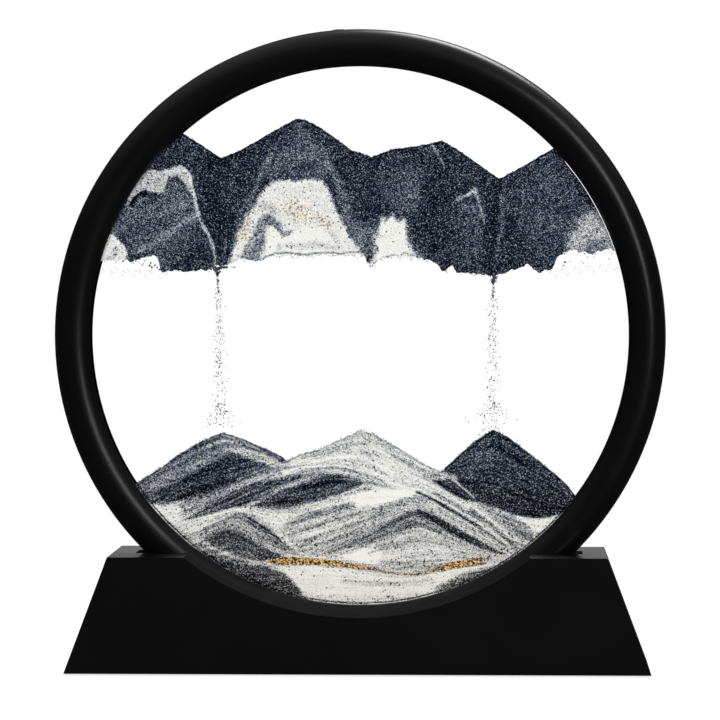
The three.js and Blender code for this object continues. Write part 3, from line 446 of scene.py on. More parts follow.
LOWER_BRUSHES = [
    ("middle dune", 0, 2.5, 0.82, 0, [
        (-0.285, -0.468), (-0.225, -0.442), (-0.151, -0.415), (-0.076, -0.382), (0.002, -0.341),
        (0.058, -0.36), (0.147, -0.415), (0.222, -0.456), (0.311, -0.505), (0.415, -0.617),
        (0.445, -0.639), (0.296, -0.609), (0.222, -0.583), (0.147, -0.568), (0.073, -0.55),
        (-0.002, -0.516), (-0.076, -0.497), (-0.151, -0.494), (-0.225, -0.501), (-0.281, -0.494),
    ]),
    ("grey crest, right side", 2, 2, 0.73, 0, [
        (-0.002, -0.36), (0.054, -0.378), (0.109, -0.408), (0.147, -0.43), (0.184, -0.449),
        (0.222, -0.468), (0.289, -0.501),
    ]),
    ("grey crest, left side", 1.6, 1.4, 0.74, 0, [
        (-0.24, -0.456), (-0.169, -0.434), (-0.114, -0.414), (-0.058, -0.386), (-0.002, -0.358),
    ]),
    ("second line of the left crest", 1.1, 1.2, 0.66, 0, [
        (-0.203, -0.468), (-0.132, -0.442), (-0.076, -0.419), (-0.02, -0.404), (0.028, -0.397),
    ]),
    ("cream of the left crest", 1.6, 1.4, 0.88, 0, [
        (-0.262, -0.477), (-0.207, -0.471), (-0.151, -0.464), (-0.076, -0.456), (-0.017, -0.458),
    ]),
    ("first line down the right flank", 0.8, 1, 0.68, 0, [
        (0.006, -0.427), (0.073, -0.453), (0.147, -0.486), (0.222, -0.523), (0.296, -0.564),
    ]),
    ("second line down the right flank", 0.8, 0.9, 0.67, 0, [
        (-0.031, -0.477), (0.035, -0.496), (0.102, -0.52),
    ]),
    ("third line down the right flank", 1, 1.1, 0.6, 0, [
        (0.125, -0.449), (0.203, -0.49), (0.289, -0.535),
    ]),
    ("white band down the right flank", 1.1, 1.3, 0.86, 0, [
        (0.051, -0.453), (0.118, -0.482), (0.192, -0.52), (0.267, -0.557), (0.333, -0.587),
        (0.407, -0.632), (0.482, -0.676),
    ]),
    ("left dune", 0, 1.5, 0.36, 0, [
        (-0.911, -0.587), (-0.84, -0.53), (-0.747, -0.47), (-0.672, -0.42), (-0.598, -0.375),
        (-0.542, -0.345), (-0.512, -0.335), (-0.449, -0.371), (-0.374, -0.408), (-0.315, -0.427),
        (-0.258, -0.468), (-0.3, -0.497), (-0.367, -0.512), (-0.449, -0.55), (-0.542, -0.587),
        (-0.635, -0.613), (-0.709, -0.626), (-0.784, -0.622), (-0.874, -0.617),
    ]),
    ("lit flank of the left dune", 0, 2.6, 0.475, 0, [
        (-0.829, -0.561), (-0.747, -0.516), (-0.654, -0.464), (-0.56, -0.408), (-0.516, -0.386),
        (-0.471, -0.401), (-0.43, -0.43), (-0.501, -0.442), (-0.576, -0.479), (-0.65, -0.516),
        (-0.725, -0.561), (-0.799, -0.598),
    ]),
    ("bright streak of the lit flank", 0.9, 1.4, 0.53, 0, [
        (-0.747, -0.546), (-0.654, -0.499), (-0.579, -0.464), (-0.523, -0.438), (-0.464, -0.423),
    ]),
    ("upper streak of the lit flank", 1.2, 1.4, 0.58, 0, [
        (-0.555, -0.41), (-0.527, -0.4), (-0.486, -0.396), (-0.445, -0.409),
    ]),
    ("dark streak of the lit flank", 0.8, 1.2, 0.33, 0, [
        (-0.709, -0.505), (-0.635, -0.464), (-0.568, -0.427), (-0.531, -0.412),
    ]),
    ("dark heart of the left dune", 0, 2.2, 0.195, 0, [
        (-0.791, -0.632), (-0.74, -0.579), (-0.672, -0.542), (-0.598, -0.497), (-0.542, -0.468),
        (-0.486, -0.445), (-0.43, -0.449), (-0.382, -0.464), (-0.345, -0.482), (-0.382, -0.505),
        (-0.449, -0.535), (-0.516, -0.568), (-0.598, -0.592), (-0.672, -0.61), (-0.728, -0.622),
    ]),
    ("first streak in the heart", 0.6, 0.9, 0.38, 0, [
        (-0.549, -0.523), (-0.478, -0.497), (-0.404, -0.469),
    ]),
    ("second streak in the heart", 0.7, 0.9, 0.4, 0, [
        (-0.494, -0.527), (-0.43, -0.505), (-0.367, -0.486),
    ]),
    ("third streak in the heart", 0.9, 1, 0.44, 0, [
        (-0.449, -0.535), (-0.389, -0.512), (-0.318, -0.49),
    ]),
    ("low streaks in the heart", 0.7, 1, 0.32, 0, [
        (-0.784, -0.617), (-0.709, -0.579), (-0.627, -0.55),
    ]),
    ("dark crest of the left dune", 0.9, 0.8, 0.2, 0, [
        (-0.858, -0.562), (-0.747, -0.495), (-0.672, -0.446), (-0.6, -0.403), (-0.542, -0.376),
        (-0.509, -0.363),
    ]),
    ("right crest of the left dune", 1.1, 1.1, 0.54, 0, [
        (-0.509, -0.365), (-0.449, -0.391), (-0.393, -0.417), (-0.352, -0.43),
    ]),
    ("end of the right crest", 0.9, 0.9, 0.4, 0, [
        (-0.367, -0.427), (-0.329, -0.438), (-0.3, -0.456), (-0.274, -0.471),
    ]),
    ("pale shoulder of the left dune", 0, 1.4, 0.68, 0, [
        (-0.501, -0.419), (-0.449, -0.417), (-0.393, -0.43), (-0.356, -0.441), (-0.3, -0.471),
        (-0.255, -0.482), (-0.3, -0.494), (-0.356, -0.479), (-0.411, -0.458), (-0.456, -0.442),
    ]),
    ("gold on the shoulder", 0, 1.2, 0.74, 0.2, [
        (-0.374, -0.449), (-0.329, -0.451), (-0.304, -0.464), (-0.329, -0.479), (-0.367, -0.464),
    ]),
    ("streak at the left dune's foot", 1.1, 1.3, 0.54, 0, [
        (-0.665, -0.639), (-0.598, -0.615), (-0.542, -0.594), (-0.486, -0.572), (-0.43, -0.55),
        (-0.374, -0.527), (-0.318, -0.509), (-0.262, -0.496), (-0.203, -0.486),
    ]),
    ("bright core of the streak", 0.5, 0.8, 0.68, 0, [
        (-0.478, -0.57), (-0.423, -0.548), (-0.367, -0.525), (-0.3, -0.505),
    ]),
    ("lower streak at the foot", 0.8, 0.9, 0.56, 0, [
        (-0.642, -0.654), (-0.579, -0.63), (-0.523, -0.605), (-0.464, -0.577),
    ]),
    ("white foot by the rim", 0, 1, 0.89, 0, [
        (-0.836, -0.613), (-0.784, -0.624), (-0.74, -0.637), (-0.68, -0.635), (-0.661, -0.65),
        (-0.672, -0.676), (-0.65, -0.695), (-0.68, -0.713), (-0.732, -0.687), (-0.784, -0.646),
    ]),
    ("second band", 0, 1.6, 0.26, 0, [
        (-0.655, -0.693), (-0.616, -0.667), (-0.56, -0.63), (-0.505, -0.6), (-0.449, -0.573),
        (-0.393, -0.551), (-0.345, -0.541), (-0.292, -0.535), (-0.225, -0.52), (-0.19, -0.512),
        (-0.225, -0.527), (-0.281, -0.55), (-0.329, -0.576), (-0.382, -0.605), (-0.411, -0.628),
        (-0.449, -0.646), (-0.505, -0.661), (-0.579, -0.68), (-0.635, -0.691),
    ]),
    ("line in the second band", 0.6, 0.9, 0.45, 0, [
        (-0.598, -0.669), (-0.523, -0.639), (-0.449, -0.605), (-0.374, -0.568),
    ]),
    ("grey streak over the dark lens", 1.2, 1.3, 0.36, 0, [
        (-0.38, -0.609), (-0.318, -0.575), (-0.262, -0.545), (-0.225, -0.53),
    ]),
    ("white arc", 1.6, 1.3, 0.86, 0, [
        (-0.278, -0.509), (-0.207, -0.492), (-0.151, -0.484), (-0.095, -0.481), (-0.04, -0.488),
        (0.017, -0.505), (0.073, -0.527), (0.129, -0.548), (0.184, -0.566), (0.24, -0.579),
    ]),
    ("grey arc", 0.7, 0.9, 0.62, 0, [
        (-0.207, -0.512), (-0.151, -0.499), (-0.076, -0.496), (-0.02, -0.505), (0.035, -0.522),
        (0.087, -0.542),
    ]),
    ("dark lens", 0, 1.3, 0.29, 0, [
        (-0.404, -0.638), (-0.345, -0.604), (-0.281, -0.571), (-0.225, -0.553), (-0.169, -0.532),
        (-0.121, -0.521), (-0.076, -0.519), (-0.031, -0.529), (0.002, -0.539), (0.025, -0.548),
        (-0.006, -0.563), (-0.04, -0.576), (-0.084, -0.592), (-0.132, -0.609), (-0.188, -0.624),
        (-0.244, -0.637), (-0.3, -0.645), (-0.356, -0.645),
    ]),
    ("heart of the dark lens", 0, 2.2, 0.22, 0, [
        (-0.374, -0.639), (-0.27, -0.594), (-0.188, -0.561), (-0.114, -0.538), (-0.051, -0.542),
        (-0.095, -0.572), (-0.188, -0.609), (-0.281, -0.635),
    ]),
    ("streaks in the dark lens", 0.5, 0.8, 0.36, 0, [
        (-0.262, -0.609), (-0.188, -0.579), (-0.106, -0.553),
    ]),
    ("tail of the dark lens", 0.6, 0.8, 0.5, 0, [
        (-0.058, -0.533), (-0.002, -0.538), (0.054, -0.551), (0.102, -0.563), (0.155, -0.576),
    ]),
    ("white valley", 0, 2, 0.95, 0, [
        (-0.065, -0.605), (-0.002, -0.583), (0.054, -0.57), (0.118, -0.57), (0.166, -0.566),
        (0.222, -0.576), (0.258, -0.587), (0.203, -0.602), (0.147, -0.614), (0.09, -0.63), (0.02, -0.643),
        (-0.055, -0.64),
    ]),
    ("pale slope under the dark lens", 0, 2, 0.82, 0, [
        (-0.289, -0.658), (-0.225, -0.643), (-0.151, -0.626), (-0.076, -0.605), (-0.017, -0.605),
        (-0.058, -0.635), (-0.132, -0.658), (-0.207, -0.684), (-0.281, -0.71), (-0.304, -0.684),
    ]),
    ("first grey streak of the slope", 1.9, 2.2, 0.46, 0, [
        (-0.262, -0.706), (-0.207, -0.686), (-0.151, -0.667), (-0.095, -0.652), (-0.031, -0.637),
    ]),
    ("first pale streak of the slope", 1.3, 1.5, 0.75, 0, [
        (-0.285, -0.721), (-0.207, -0.704), (-0.132, -0.686), (-0.058, -0.665), (0.028, -0.643),
    ]),
    ("second grey streak of the slope", 1, 1.3, 0.6, 0, [
        (-0.233, -0.728), (-0.151, -0.708), (-0.076, -0.686), (-0.002, -0.664),
    ]),
    ("second pale streak of the slope", 1.2, 1.4, 0.74, 0, [
        (-0.24, -0.747), (-0.132, -0.719), (-0.04, -0.691), (0.043, -0.661), (0.118, -0.635),
    ]),
    ("grey body of the slope", 0, 2.6, 0.6, 0, [
        (-0.233, -0.803), (-0.188, -0.762), (-0.114, -0.732), (-0.04, -0.706), (0.035, -0.68),
        (0.109, -0.65), (0.162, -0.635), (0.102, -0.68), (0.006, -0.728), (-0.087, -0.769),
        (-0.169, -0.807),
    ]),
    ("third pale streak of the slope", 0.9, 1.2, 0.74, 0, [
        (-0.203, -0.788), (-0.114, -0.754), (-0.031, -0.721), (0.043, -0.691), (0.118, -0.661),
    ]),
    ("blue band over the chevron", 1.6, 2, 0.56, 0, [
        (-0.095, -0.784), (-0.031, -0.753), (0.035, -0.723), (0.102, -0.693), (0.162, -0.665),
    ]),
    ("cream corner by the mound", 0, 1.6, 0.82, 0.03, [
        (-0.329, -0.721), (-0.285, -0.732), (-0.244, -0.777), (-0.218, -0.814), (-0.255, -0.807),
        (-0.296, -0.769),
    ]),
    ("white hollow by the mound", 0, 1.6, 0.83, 0, [
        (-0.419, -0.65), (-0.367, -0.645), (-0.318, -0.648), (-0.274, -0.654), (-0.281, -0.691),
        (-0.304, -0.728), (-0.333, -0.713), (-0.371, -0.68), (-0.4, -0.658),
    ]),
    ("white of the mound's foot", 0, 1.2, 0.83, 0, [
        (-0.687, -0.699), (-0.598, -0.687), (-0.534, -0.673), (-0.564, -0.702), (-0.594, -0.732),
        (-0.635, -0.736), (-0.672, -0.725),
    ]),
    ("white strip over the mound", 1.3, 1, 0.86, 0, [
        (-0.672, -0.702), (-0.616, -0.689), (-0.56, -0.676), (-0.505, -0.659), (-0.467, -0.65),
        (-0.423, -0.648),
    ]),
    ("left mound", 0, 1.4, 0.58, 0, [
        (-0.605, -0.74), (-0.553, -0.708), (-0.505, -0.68), (-0.464, -0.661), (-0.427, -0.667),
        (-0.389, -0.691), (-0.345, -0.721), (-0.296, -0.758), (-0.251, -0.792), (-0.211, -0.825),
        (-0.281, -0.836), (-0.356, -0.836), (-0.43, -0.814), (-0.505, -0.788), (-0.587, -0.766),
    ]),
    ("top streak of the mound", 0.7, 0.9, 0.47, 0, [
        (-0.576, -0.725), (-0.523, -0.697), (-0.464, -0.671), (-0.427, -0.68),
    ]),
    ("light streak of the mound", 1.1, 1.2, 0.67, 0, [
        (-0.553, -0.725), (-0.509, -0.699), (-0.471, -0.691), (-0.427, -0.717), (-0.382, -0.745),
        (-0.337, -0.777), (-0.289, -0.81),
    ]),
    ("second light streak of the mound", 0.6, 0.9, 0.52, 0, [
        (-0.434, -0.736), (-0.382, -0.766), (-0.329, -0.799),
    ]),
    ("dark heart of the mound", 0, 1.6, 0.3, 0, [
        (-0.576, -0.754), (-0.542, -0.732), (-0.505, -0.721), (-0.467, -0.725), (-0.438, -0.743),
        (-0.393, -0.773), (-0.337, -0.803), (-0.278, -0.829), (-0.318, -0.838), (-0.374, -0.838),
        (-0.43, -0.832), (-0.486, -0.806), (-0.549, -0.782),
    ]),
    ("streak under the heart", 0.7, 0.9, 0.38, 0, [
        (-0.553, -0.779), (-0.467, -0.801), (-0.389, -0.829),
    ]),
    ("dark edge of the mound", 0.8, 0.6, 0.27, 0, [
        (-0.412, -0.68), (-0.393, -0.693), (-0.356, -0.719), (-0.322, -0.743), (-0.296, -0.764),
    ]),
    ("second dark edge of the mound", 0.6, 0.8, 0.4, 0, [
        (-0.419, -0.695), (-0.382, -0.719), (-0.345, -0.743), (-0.307, -0.773),
    ]),
    ("left drift", 0, 1.6, 0.275, 0, [
        (-0.65, -0.769), (-0.579, -0.803), (-0.523, -0.829), (-0.467, -0.848), (-0.411, -0.855),
        (-0.363, -0.857), (-0.318, -0.868), (-0.262, -0.891), (-0.233, -0.926), (-0.196, -0.959),
        (-0.151, -1.004), (-0.374, -1.079), (-0.598, -1.004), (-0.784, -0.84), (-0.784, -0.747),
    ]),
    ("grey haze along the rim", 1.8, 1.8, 0.6, 0, [
        (-0.747, -0.684), (-0.687, -0.73), (-0.635, -0.766), (-0.576, -0.799),
    ]),
    ("light edge of the drift", 1, 1.3, 0.41, 0, [
        (-0.598, -0.784), (-0.542, -0.81), (-0.478, -0.836), (-0.419, -0.849),
    ]),
    ("right flank", 0, 2, 0.77, 0, [
        (0.222, -0.576), (0.296, -0.587), (0.371, -0.624), (0.445, -0.654), (0.52, -0.687),
        (0.576, -0.732), (0.609, -0.788), (0.549, -0.822), (0.482, -0.792), (0.407, -0.754),
        (0.333, -0.702), (0.258, -0.639),
    ]),
    ("first white line of the flank", 0.9, 1, 0.82, 0, [
        (0.229, -0.577), (0.296, -0.605), (0.352, -0.639), (0.407, -0.674), (0.482, -0.725),
        (0.542, -0.769),
    ]),
    ("dark line of the flank", 0.8, 0.8, 0.26, 0, [
        (0.214, -0.583), (0.258, -0.602), (0.296, -0.622), (0.333, -0.645), (0.371, -0.667),
        (0.407, -0.689), (0.449, -0.713),
    ]),
    ("end of the dark line", 0.8, 0.9, 0.43, 0, [
        (0.438, -0.71), (0.489, -0.743), (0.542, -0.781),
    ]),
    ("second grey line of the flank", 0.8, 0.9, 0.58, 0, [
        (0.274, -0.583), (0.333, -0.617), (0.389, -0.652), (0.449, -0.689),
    ]),
    ("second white line of the flank", 1.1, 1, 0.87, 0, [
        (0.315, -0.585), (0.371, -0.618), (0.427, -0.648), (0.482, -0.682), (0.516, -0.708),
    ]),
    ("third grey line of the flank", 1.2, 1.2, 0.45, 0, [
        (0.415, -0.654), (0.482, -0.7), (0.538, -0.747), (0.583, -0.788),
    ]),
    ("low white of the flank", 1.5, 1.8, 0.66, 0, [
        (0.296, -0.654), (0.371, -0.699), (0.445, -0.743), (0.52, -0.784), (0.572, -0.807),
    ]),
    ("grey slope under the right dune", 0, 2.2, 0.56, 0, [
        (0.453, -0.635), (0.52, -0.661), (0.576, -0.674), (0.613, -0.691), (0.642, -0.721),
        (0.642, -0.758), (0.598, -0.769), (0.553, -0.728), (0.509, -0.691),
    ]),
    ("dark fold of the grey slope", 1, 1.4, 0.46, 0, [
        (0.52, -0.669), (0.564, -0.699), (0.609, -0.74),
    ]),
    ("white patch under the right dune", 0, 1.2, 0.89, 0, [
        (0.575, -0.67), (0.65, -0.678), (0.728, -0.67), (0.705, -0.71), (0.665, -0.732),
        (0.635, -0.719), (0.613, -0.699),
    ]),
    ("upper arc of the chevrons", 1.3, 1.3, 0.64, 0, [
        (0.085, -0.641), (0.118, -0.63), (0.162, -0.617), (0.207, -0.605), (0.244, -0.617),
    ]),
    ("lap over the chevron", 0, 1.6, 0.67, 0, [
        (0.043, -0.699), (0.109, -0.665), (0.166, -0.641), (0.214, -0.624), (0.258, -0.641),
        (0.304, -0.673), (0.267, -0.667), (0.218, -0.643), (0.166, -0.663), (0.102, -0.695),
    ]),
    ("left leg of the dark chevron", 0, 1.5, 0.41, 0, [
        (0.218, -0.645), (0.184, -0.658), (0.14, -0.678), (0.095, -0.699), (0.051, -0.723),
        (0.006, -0.749), (-0.031, -0.769), (-0.084, -0.79), (-0.13, -0.806), (-0.09, -0.801),
        (-0.04, -0.788), (0.013, -0.766), (0.065, -0.74), (0.109, -0.717), (0.155, -0.695),
        (0.192, -0.68), (0.222, -0.673),
    ]),
    ("dark apex of the chevron", 1.3, 1.2, 0.27, 0, [
        (0.214, -0.658), (0.18, -0.671), (0.138, -0.69), (0.099, -0.71),
    ]),
    ("right leg of the dark chevron", 0, 0.9, 0.22, 0, [
        (0.214, -0.645), (0.251, -0.658), (0.296, -0.68), (0.341, -0.706), (0.389, -0.732),
        (0.438, -0.758), (0.489, -0.786), (0.549, -0.816), (0.501, -0.808), (0.445, -0.788),
        (0.389, -0.762), (0.333, -0.734), (0.289, -0.71), (0.251, -0.687), (0.222, -0.674),
    ]),
    ("pale line in the chevron", 0.7, 0.8, 0.54, 0, [
        (0.02, -0.762), (0.073, -0.74), (0.129, -0.717), (0.184, -0.693), (0.222, -0.682),
        (0.267, -0.697), (0.311, -0.723),
    ]),
    ("lower chevron", 1.5, 1.4, 0.46, 0, [
        (0.006, -0.784), (0.054, -0.76), (0.109, -0.738), (0.166, -0.715), (0.218, -0.699),
        (0.267, -0.713), (0.3, -0.729),
    ]),
    ("grey lap under the chevrons", 0, 2, 0.74, 0, [
        (-0.009, -0.807), (0.054, -0.781), (0.129, -0.749), (0.214, -0.723), (0.296, -0.743),
        (0.371, -0.773), (0.445, -0.803), (0.341, -0.799), (0.214, -0.771), (0.109, -0.792),
        (0.028, -0.814),
    ]),
    ("blue corner of the lap", 0, 2, 0.64, 0, [
        (0.013, -0.784), (0.073, -0.762), (0.132, -0.74), (0.118, -0.769), (0.058, -0.792),
    ]),
    ("pale hump", 0, 2, 0.82, 0, [
        (-0.002, -0.829), (0.073, -0.801), (0.147, -0.784), (0.222, -0.775), (0.296, -0.788),
        (0.371, -0.807), (0.445, -0.825), (0.352, -0.844), (0.258, -0.836), (0.147, -0.833),
        (0.054, -0.851),
    ]),
    ("white end of the hump", 0, 1.6, 0.96, 0, [
        (-0.08, -0.82), (-0.03, -0.807), (0.02, -0.791), (0.052, -0.786), (0.09, -0.802), (0.08, -0.83),
        (0.062, -0.853), (-0.002, -0.845), (-0.055, -0.832),
    ]),
    ("line on the hump", 0.5, 0.9, 0.63, 0, [
        (0.035, -0.81), (0.102, -0.79), (0.177, -0.773), (0.258, -0.768), (0.333, -0.782),
    ]),
    ("grey pool", 0, 3, 0.62, 0, [
        (0.084, -0.851), (0.129, -0.829), (0.184, -0.823), (0.222, -0.831), (0.24, -0.848),
        (0.208, -0.872), (0.17, -0.88), (0.114, -0.877),
    ]),
    ("cream bed", 0, 1.5, 0.92, 0.01, [
        (-0.337, -0.866), (-0.281, -0.861), (-0.225, -0.861), (-0.095, -0.863), (0.017, -0.881),
        (0.109, -0.896), (0.203, -0.9), (0.278, -0.883), (0.352, -0.866), (0.445, -0.855), (0.527, -0.836),
        (0.489, -0.9), (0.393, -0.959), (0.222, -1.015), (-0.158, -1.041), (-0.184, -0.997),
        (-0.218, -0.952), (-0.247, -0.915), (-0.281, -0.885),
    ]),
    ("cream light of the bed", 0, 4, 0.92, 0.01, [
        (-0.262, -0.877), (-0.114, -0.877), (-0.002, -0.896), (-0.04, -0.944), (-0.169, -0.944),
        (-0.233, -0.915),
    ]),
    ("smear in the bed", 1.6, 2.2, 0.78, 0, [
        (-0.058, -0.911), (0.035, -0.92), (0.109, -0.924), (0.184, -0.918), (0.267, -0.909),
    ]),
    ("foot of the bed", 1.6, 2.4, 0.81, 0, [
        (-0.203, -0.971), (-0.076, -0.985), (0.073, -0.985), (0.222, -0.967),
    ]),
    ("right drift", 0, 2, 0.4, 0, [
        (0.281, -0.944), (0.341, -0.907), (0.4, -0.885), (0.46, -0.868), (0.52, -0.849),
        (0.579, -0.822), (0.556, -0.877), (0.453, -0.937), (0.352, -0.978),
    ]),
    ("pale gap over the left gold", 1, 1.2, 0.82, 0.05, [
        (-0.27, -0.823), (-0.225, -0.822), (-0.151, -0.825), (-0.058, -0.838),
    ]),
    ("left gold", 0, 0.6, 0.3, 0.96, [
        (-0.352, -0.84), (-0.311, -0.829), (-0.244, -0.827), (-0.169, -0.832), (-0.095, -0.838),
        (-0.04, -0.849), (0.017, -0.858), (0.073, -0.874), (0.02, -0.871), (-0.04, -0.863),
        (-0.095, -0.858), (-0.169, -0.854), (-0.244, -0.854), (-0.304, -0.855),
    ]),
    ("gold thread", 0.45, 0.5, 0.4, 0.75, [
        (0.051, -0.868), (0.095, -0.88), (0.147, -0.889), (0.203, -0.889), (0.251, -0.883), (0.289, -0.872),
    ]),
    ("right gold", 0, 0.8, 0.44, 0.93, [
        (0.275, -0.877), (0.302, -0.86), (0.341, -0.845), (0.389, -0.834), (0.438, -0.827),
        (0.489, -0.823), (0.471, -0.848), (0.415, -0.857), (0.363, -0.865), (0.311, -0.876),
    ]),
    ("end of the right gold", 1, 1.4, 0.72, 0.2, [
        (0.46, -0.84), (0.505, -0.829), (0.542, -0.818),
    ]),
    ("right dune", 0, 0.6, 0.21, 0, [
        (0.274, -0.52), (0.304, -0.486), (0.389, -0.404), (0.464, -0.345), (0.496, -0.33), (0.531, -0.341),
        (0.631, -0.423), (0.732, -0.494), (0.825, -0.591), (0.81, -0.635), (0.751, -0.66),
        (0.702, -0.675), (0.65, -0.678), (0.602, -0.672), (0.556, -0.658), (0.501, -0.638),
        (0.445, -0.619), (0.407, -0.604), (0.378, -0.587), (0.341, -0.55), (0.318, -0.527),
    ]),
    ("haze on the right dune", 0, 4, 0.31, 0, [
        (0.393, -0.449), (0.46, -0.393), (0.505, -0.415), (0.482, -0.475), (0.407, -0.527),
        (0.363, -0.505),
    ]),
    ("dark foot of the right dune", 0, 4, 0.17, 0, [
        (0.445, -0.587), (0.594, -0.587), (0.713, -0.617), (0.698, -0.66), (0.564, -0.648),
        (0.482, -0.62),
    ]),
    ("long streaks on the right dune", 0.6, 1, 0.29, 0, [
        (0.542, -0.393), (0.616, -0.453), (0.691, -0.509), (0.758, -0.564),
    ]),
    ("fine streak on the right dune", 0.4, 0.6, 0.32, 0, [
        (0.587, -0.509), (0.631, -0.542), (0.691, -0.583),
    ]),
    ("dark wedge", 0, 1.1, 0.22, 0, [
        (0.27, -0.54), (0.3, -0.536), (0.333, -0.542), (0.371, -0.568), (0.407, -0.598),
        (0.438, -0.62), (0.389, -0.611), (0.341, -0.585), (0.296, -0.559),
    ]),
    ("pale foot of the wedge", 1.5, 1.4, 0.68, 0, [
        (0.275, -0.505), (0.318, -0.515), (0.356, -0.53),
    ]),
    ("white line by the right dune", 0.6, 0.7, 0.74, 0, [
        (0.296, -0.509), (0.326, -0.523), (0.352, -0.538), (0.378, -0.561), (0.4, -0.579),
        (0.423, -0.6),
    ]),
    ("shade along the left skyline", 0.3, 0.5, 0.2, 0, LOWER_LAYERS["sand_dune_left"][1][:-1]),
    ("shade along the right skyline", 0.3, 0.5, 0.1, 0, LOWER_LAYERS["sand_dune_right"][1][1:]),
    ("specks along the middle skyline", 0.25, 0.6, 0.56, 0, LOWER_LAYERS["sand_dune_centre"][1][6:16]),
    ("shade beside the rim", 0.35, 0.4, 0.12, 0, [
        (RIM_SHADE * math.cos(math.radians(turn)), RIM_SHADE * math.sin(math.radians(turn)))
        for turn in range(200, 341, 4)
    ]),
]

CHAMBER_REACH = (CHAMBER_RADIUS - FIT) / WINDOW_RADIUS  # in window radii, as the landscape is
GRAIN, COARSE_GRAIN = 0.2 * MM, 0.37 * MM
GRAIN_CONTRAST = 0.7
SPECKS = 2.0  # how common coarse dark grains are among pale ones
SPECK_SHADE = 0.75  # share of its light that such a grain lacks
SPECK_BALANCE = 1.1  # makes up for the light that the specks take
TONE_STRETCH = 0.06  # how much darker the darkest tones are laid
LAMINA_CONTRAST = 5.2
COOL_HEIGHT = CENTRE.z - 0.35 * WINDOW_RADIUS  # grains are cool above this
WARM_HEIGHT = CENTRE.z - 0.95 * WINDOW_RADIUS  # and warm below this
SAND_IN_GOLD = 0.45  # how far the palest gold takes on the colour of the sand
BANK_TONE, DUNE_TONE = 0.21, 0.70  # the sand between the brush marks
BANK_RAGGED, DUNE_RAGGED = 0.4, 0.12  # how ragged a mark's edge is, in shares of its blur
BANK_STREAKS, DUNE_STREAKS = 0.3, 1.0  # how strongly the laminae show
BANK_STEP, DUNE_STEP = 0.36 * MM, 0.3 * MM  # grids of the sand
LAMINA_LENGTH, LAMINA_THICKNESS = 18.0, 0.75  # millimetres
CLOUD = 6.0  # size of the mottles in the bank, in millimetres

# Random unevenness: its share, or its height in window radii, then the size of its bumps in millimetres
# and a seed
MARK_EDGE = [(0.6, 1.6, 3), (0.4, 0.6, 4)]
FOOT_EDGE = [(0.003, 0.9, 7), (0.003, 0.4, 8)]
SKYLINE_EDGE = [(0.0016, 0.5, 9), (0.0012, 0.25, 10)]
OUTLINE_STEP = 0.002  # in window radii, as the next lines are
LEAST_LAYER, LEAST_STRATUM, LEAST_MEAN_STRATUM = 0.002, 0.004, 0.02
BANK_END, BANK_END_GAP = (0.72, 0.77), 0.02  # where the bank draws back from the chamber's right wall
NOWHERE = -9.0  # far below the landscape
DRIFT_CELLS = 256  # bumps in a row before the random values repeat

# Single grains
LEAST_GRAIN = 0.08  # radius in millimetres
GRAIN_SHAPE = 0.75, 1.25  # how far a grain is squashed or drawn out
GRAIN_SPREAD = 0.9 * MM  # how deep the grains lie behind the sand's front
LANDING = 0.015  # how far over the peak falling grains end, in window radii


class Wire:
    """A node's output. Arithmetic on it adds Math nodes to its tree."""

    def __init__(self, tree, socket):
        self.tree = tree
        self.socket = socket

    def math(self, operation, first, second):
        return self.tree.node("ShaderNodeMath", {"operation": operation}, {0: first, 1: second})

    def __add__(self, other):
        return self.math("ADD", self, other)

    def __radd__(self, other):
        return self.math("ADD", other, self)

    def __sub__(self, other):
        return self.math("SUBTRACT", self, other)

    def __rsub__(self, other):
        return self.math("SUBTRACT", other, self)

    def __mul__(self, other):
        return self.math("MULTIPLY", self, other)

    def __rmul__(self, other):
        return self.math("MULTIPLY", other, self)

    def __rtruediv__(self, other):
        return self.math("DIVIDE", other, self)

    def __pow__(self, other):
        return self.math("POWER", self, other)

    def clamp(self):
        return self.tree.node("ShaderNodeClamp", sockets={"Value": self})

    def output(self, name):
        return Wire(self.tree, self.socket.node.outputs[name])


class Tree:
    """The nodes of a material or of the world."""

    def __init__(self, owner):
        owner.use_nodes = True
        self.nodes = owner.node_tree.nodes
        self.links = owner.node_tree.links
        self.nodes.clear()

    def node(self, kind, settings=None, sockets=None):
        node = self.nodes.new(kind)
        for name, value in (settings or {}).items():
            if name == "stops":
                self.set_stops(node.color_ramp.elements, value)
            else:
                setattr(node, name, value)
        for name, value in (sockets or {}).items():
            if isinstance(value, Wire):
                self.links.new(value.socket, node.inputs[name])
            else:
                node.inputs[name].default_value = value
        return Wire(self, node.outputs[0]) if node.outputs else None

    def set_stops(self, elements, stops):
        elements.remove(elements[1])
        elements[0].position, elements[0].color = stops[0]
        for position, tint in stops[1:]:
            elements.new(position).color = tint

    def place(self):
        return self.node("ShaderNodeTexCoord").output("Object")

    def noise(self, vector, scale, detail=2.0, roughness=0.5):
        return self.node("ShaderNodeTexNoise", sockets={
            "Vector": vector, "Scale": scale, "Detail": detail, "Roughness": roughness,
        })

    def blend(self, factor, first, second):
        mix = self.node("ShaderNodeMix", {"data_type": "RGBA"}, {0: factor, 6: first, 7: second})
        return Wire(self, mix.socket.node.outputs[2])

    def split(self, vector):
        parts = self.node("ShaderNodeSeparateXYZ", sockets={"Vector": vector})
        return parts, parts.output("Y"), parts.output("Z")

    def rise(self, value, low, high):
        """0 below low and 1 above high, with a smooth rise between them."""
        return self.node("ShaderNodeMapRange", {"interpolation_type": "SMOOTHSTEP"}, {
            "Value": value, "From Min": low, "From Max": high,
        })


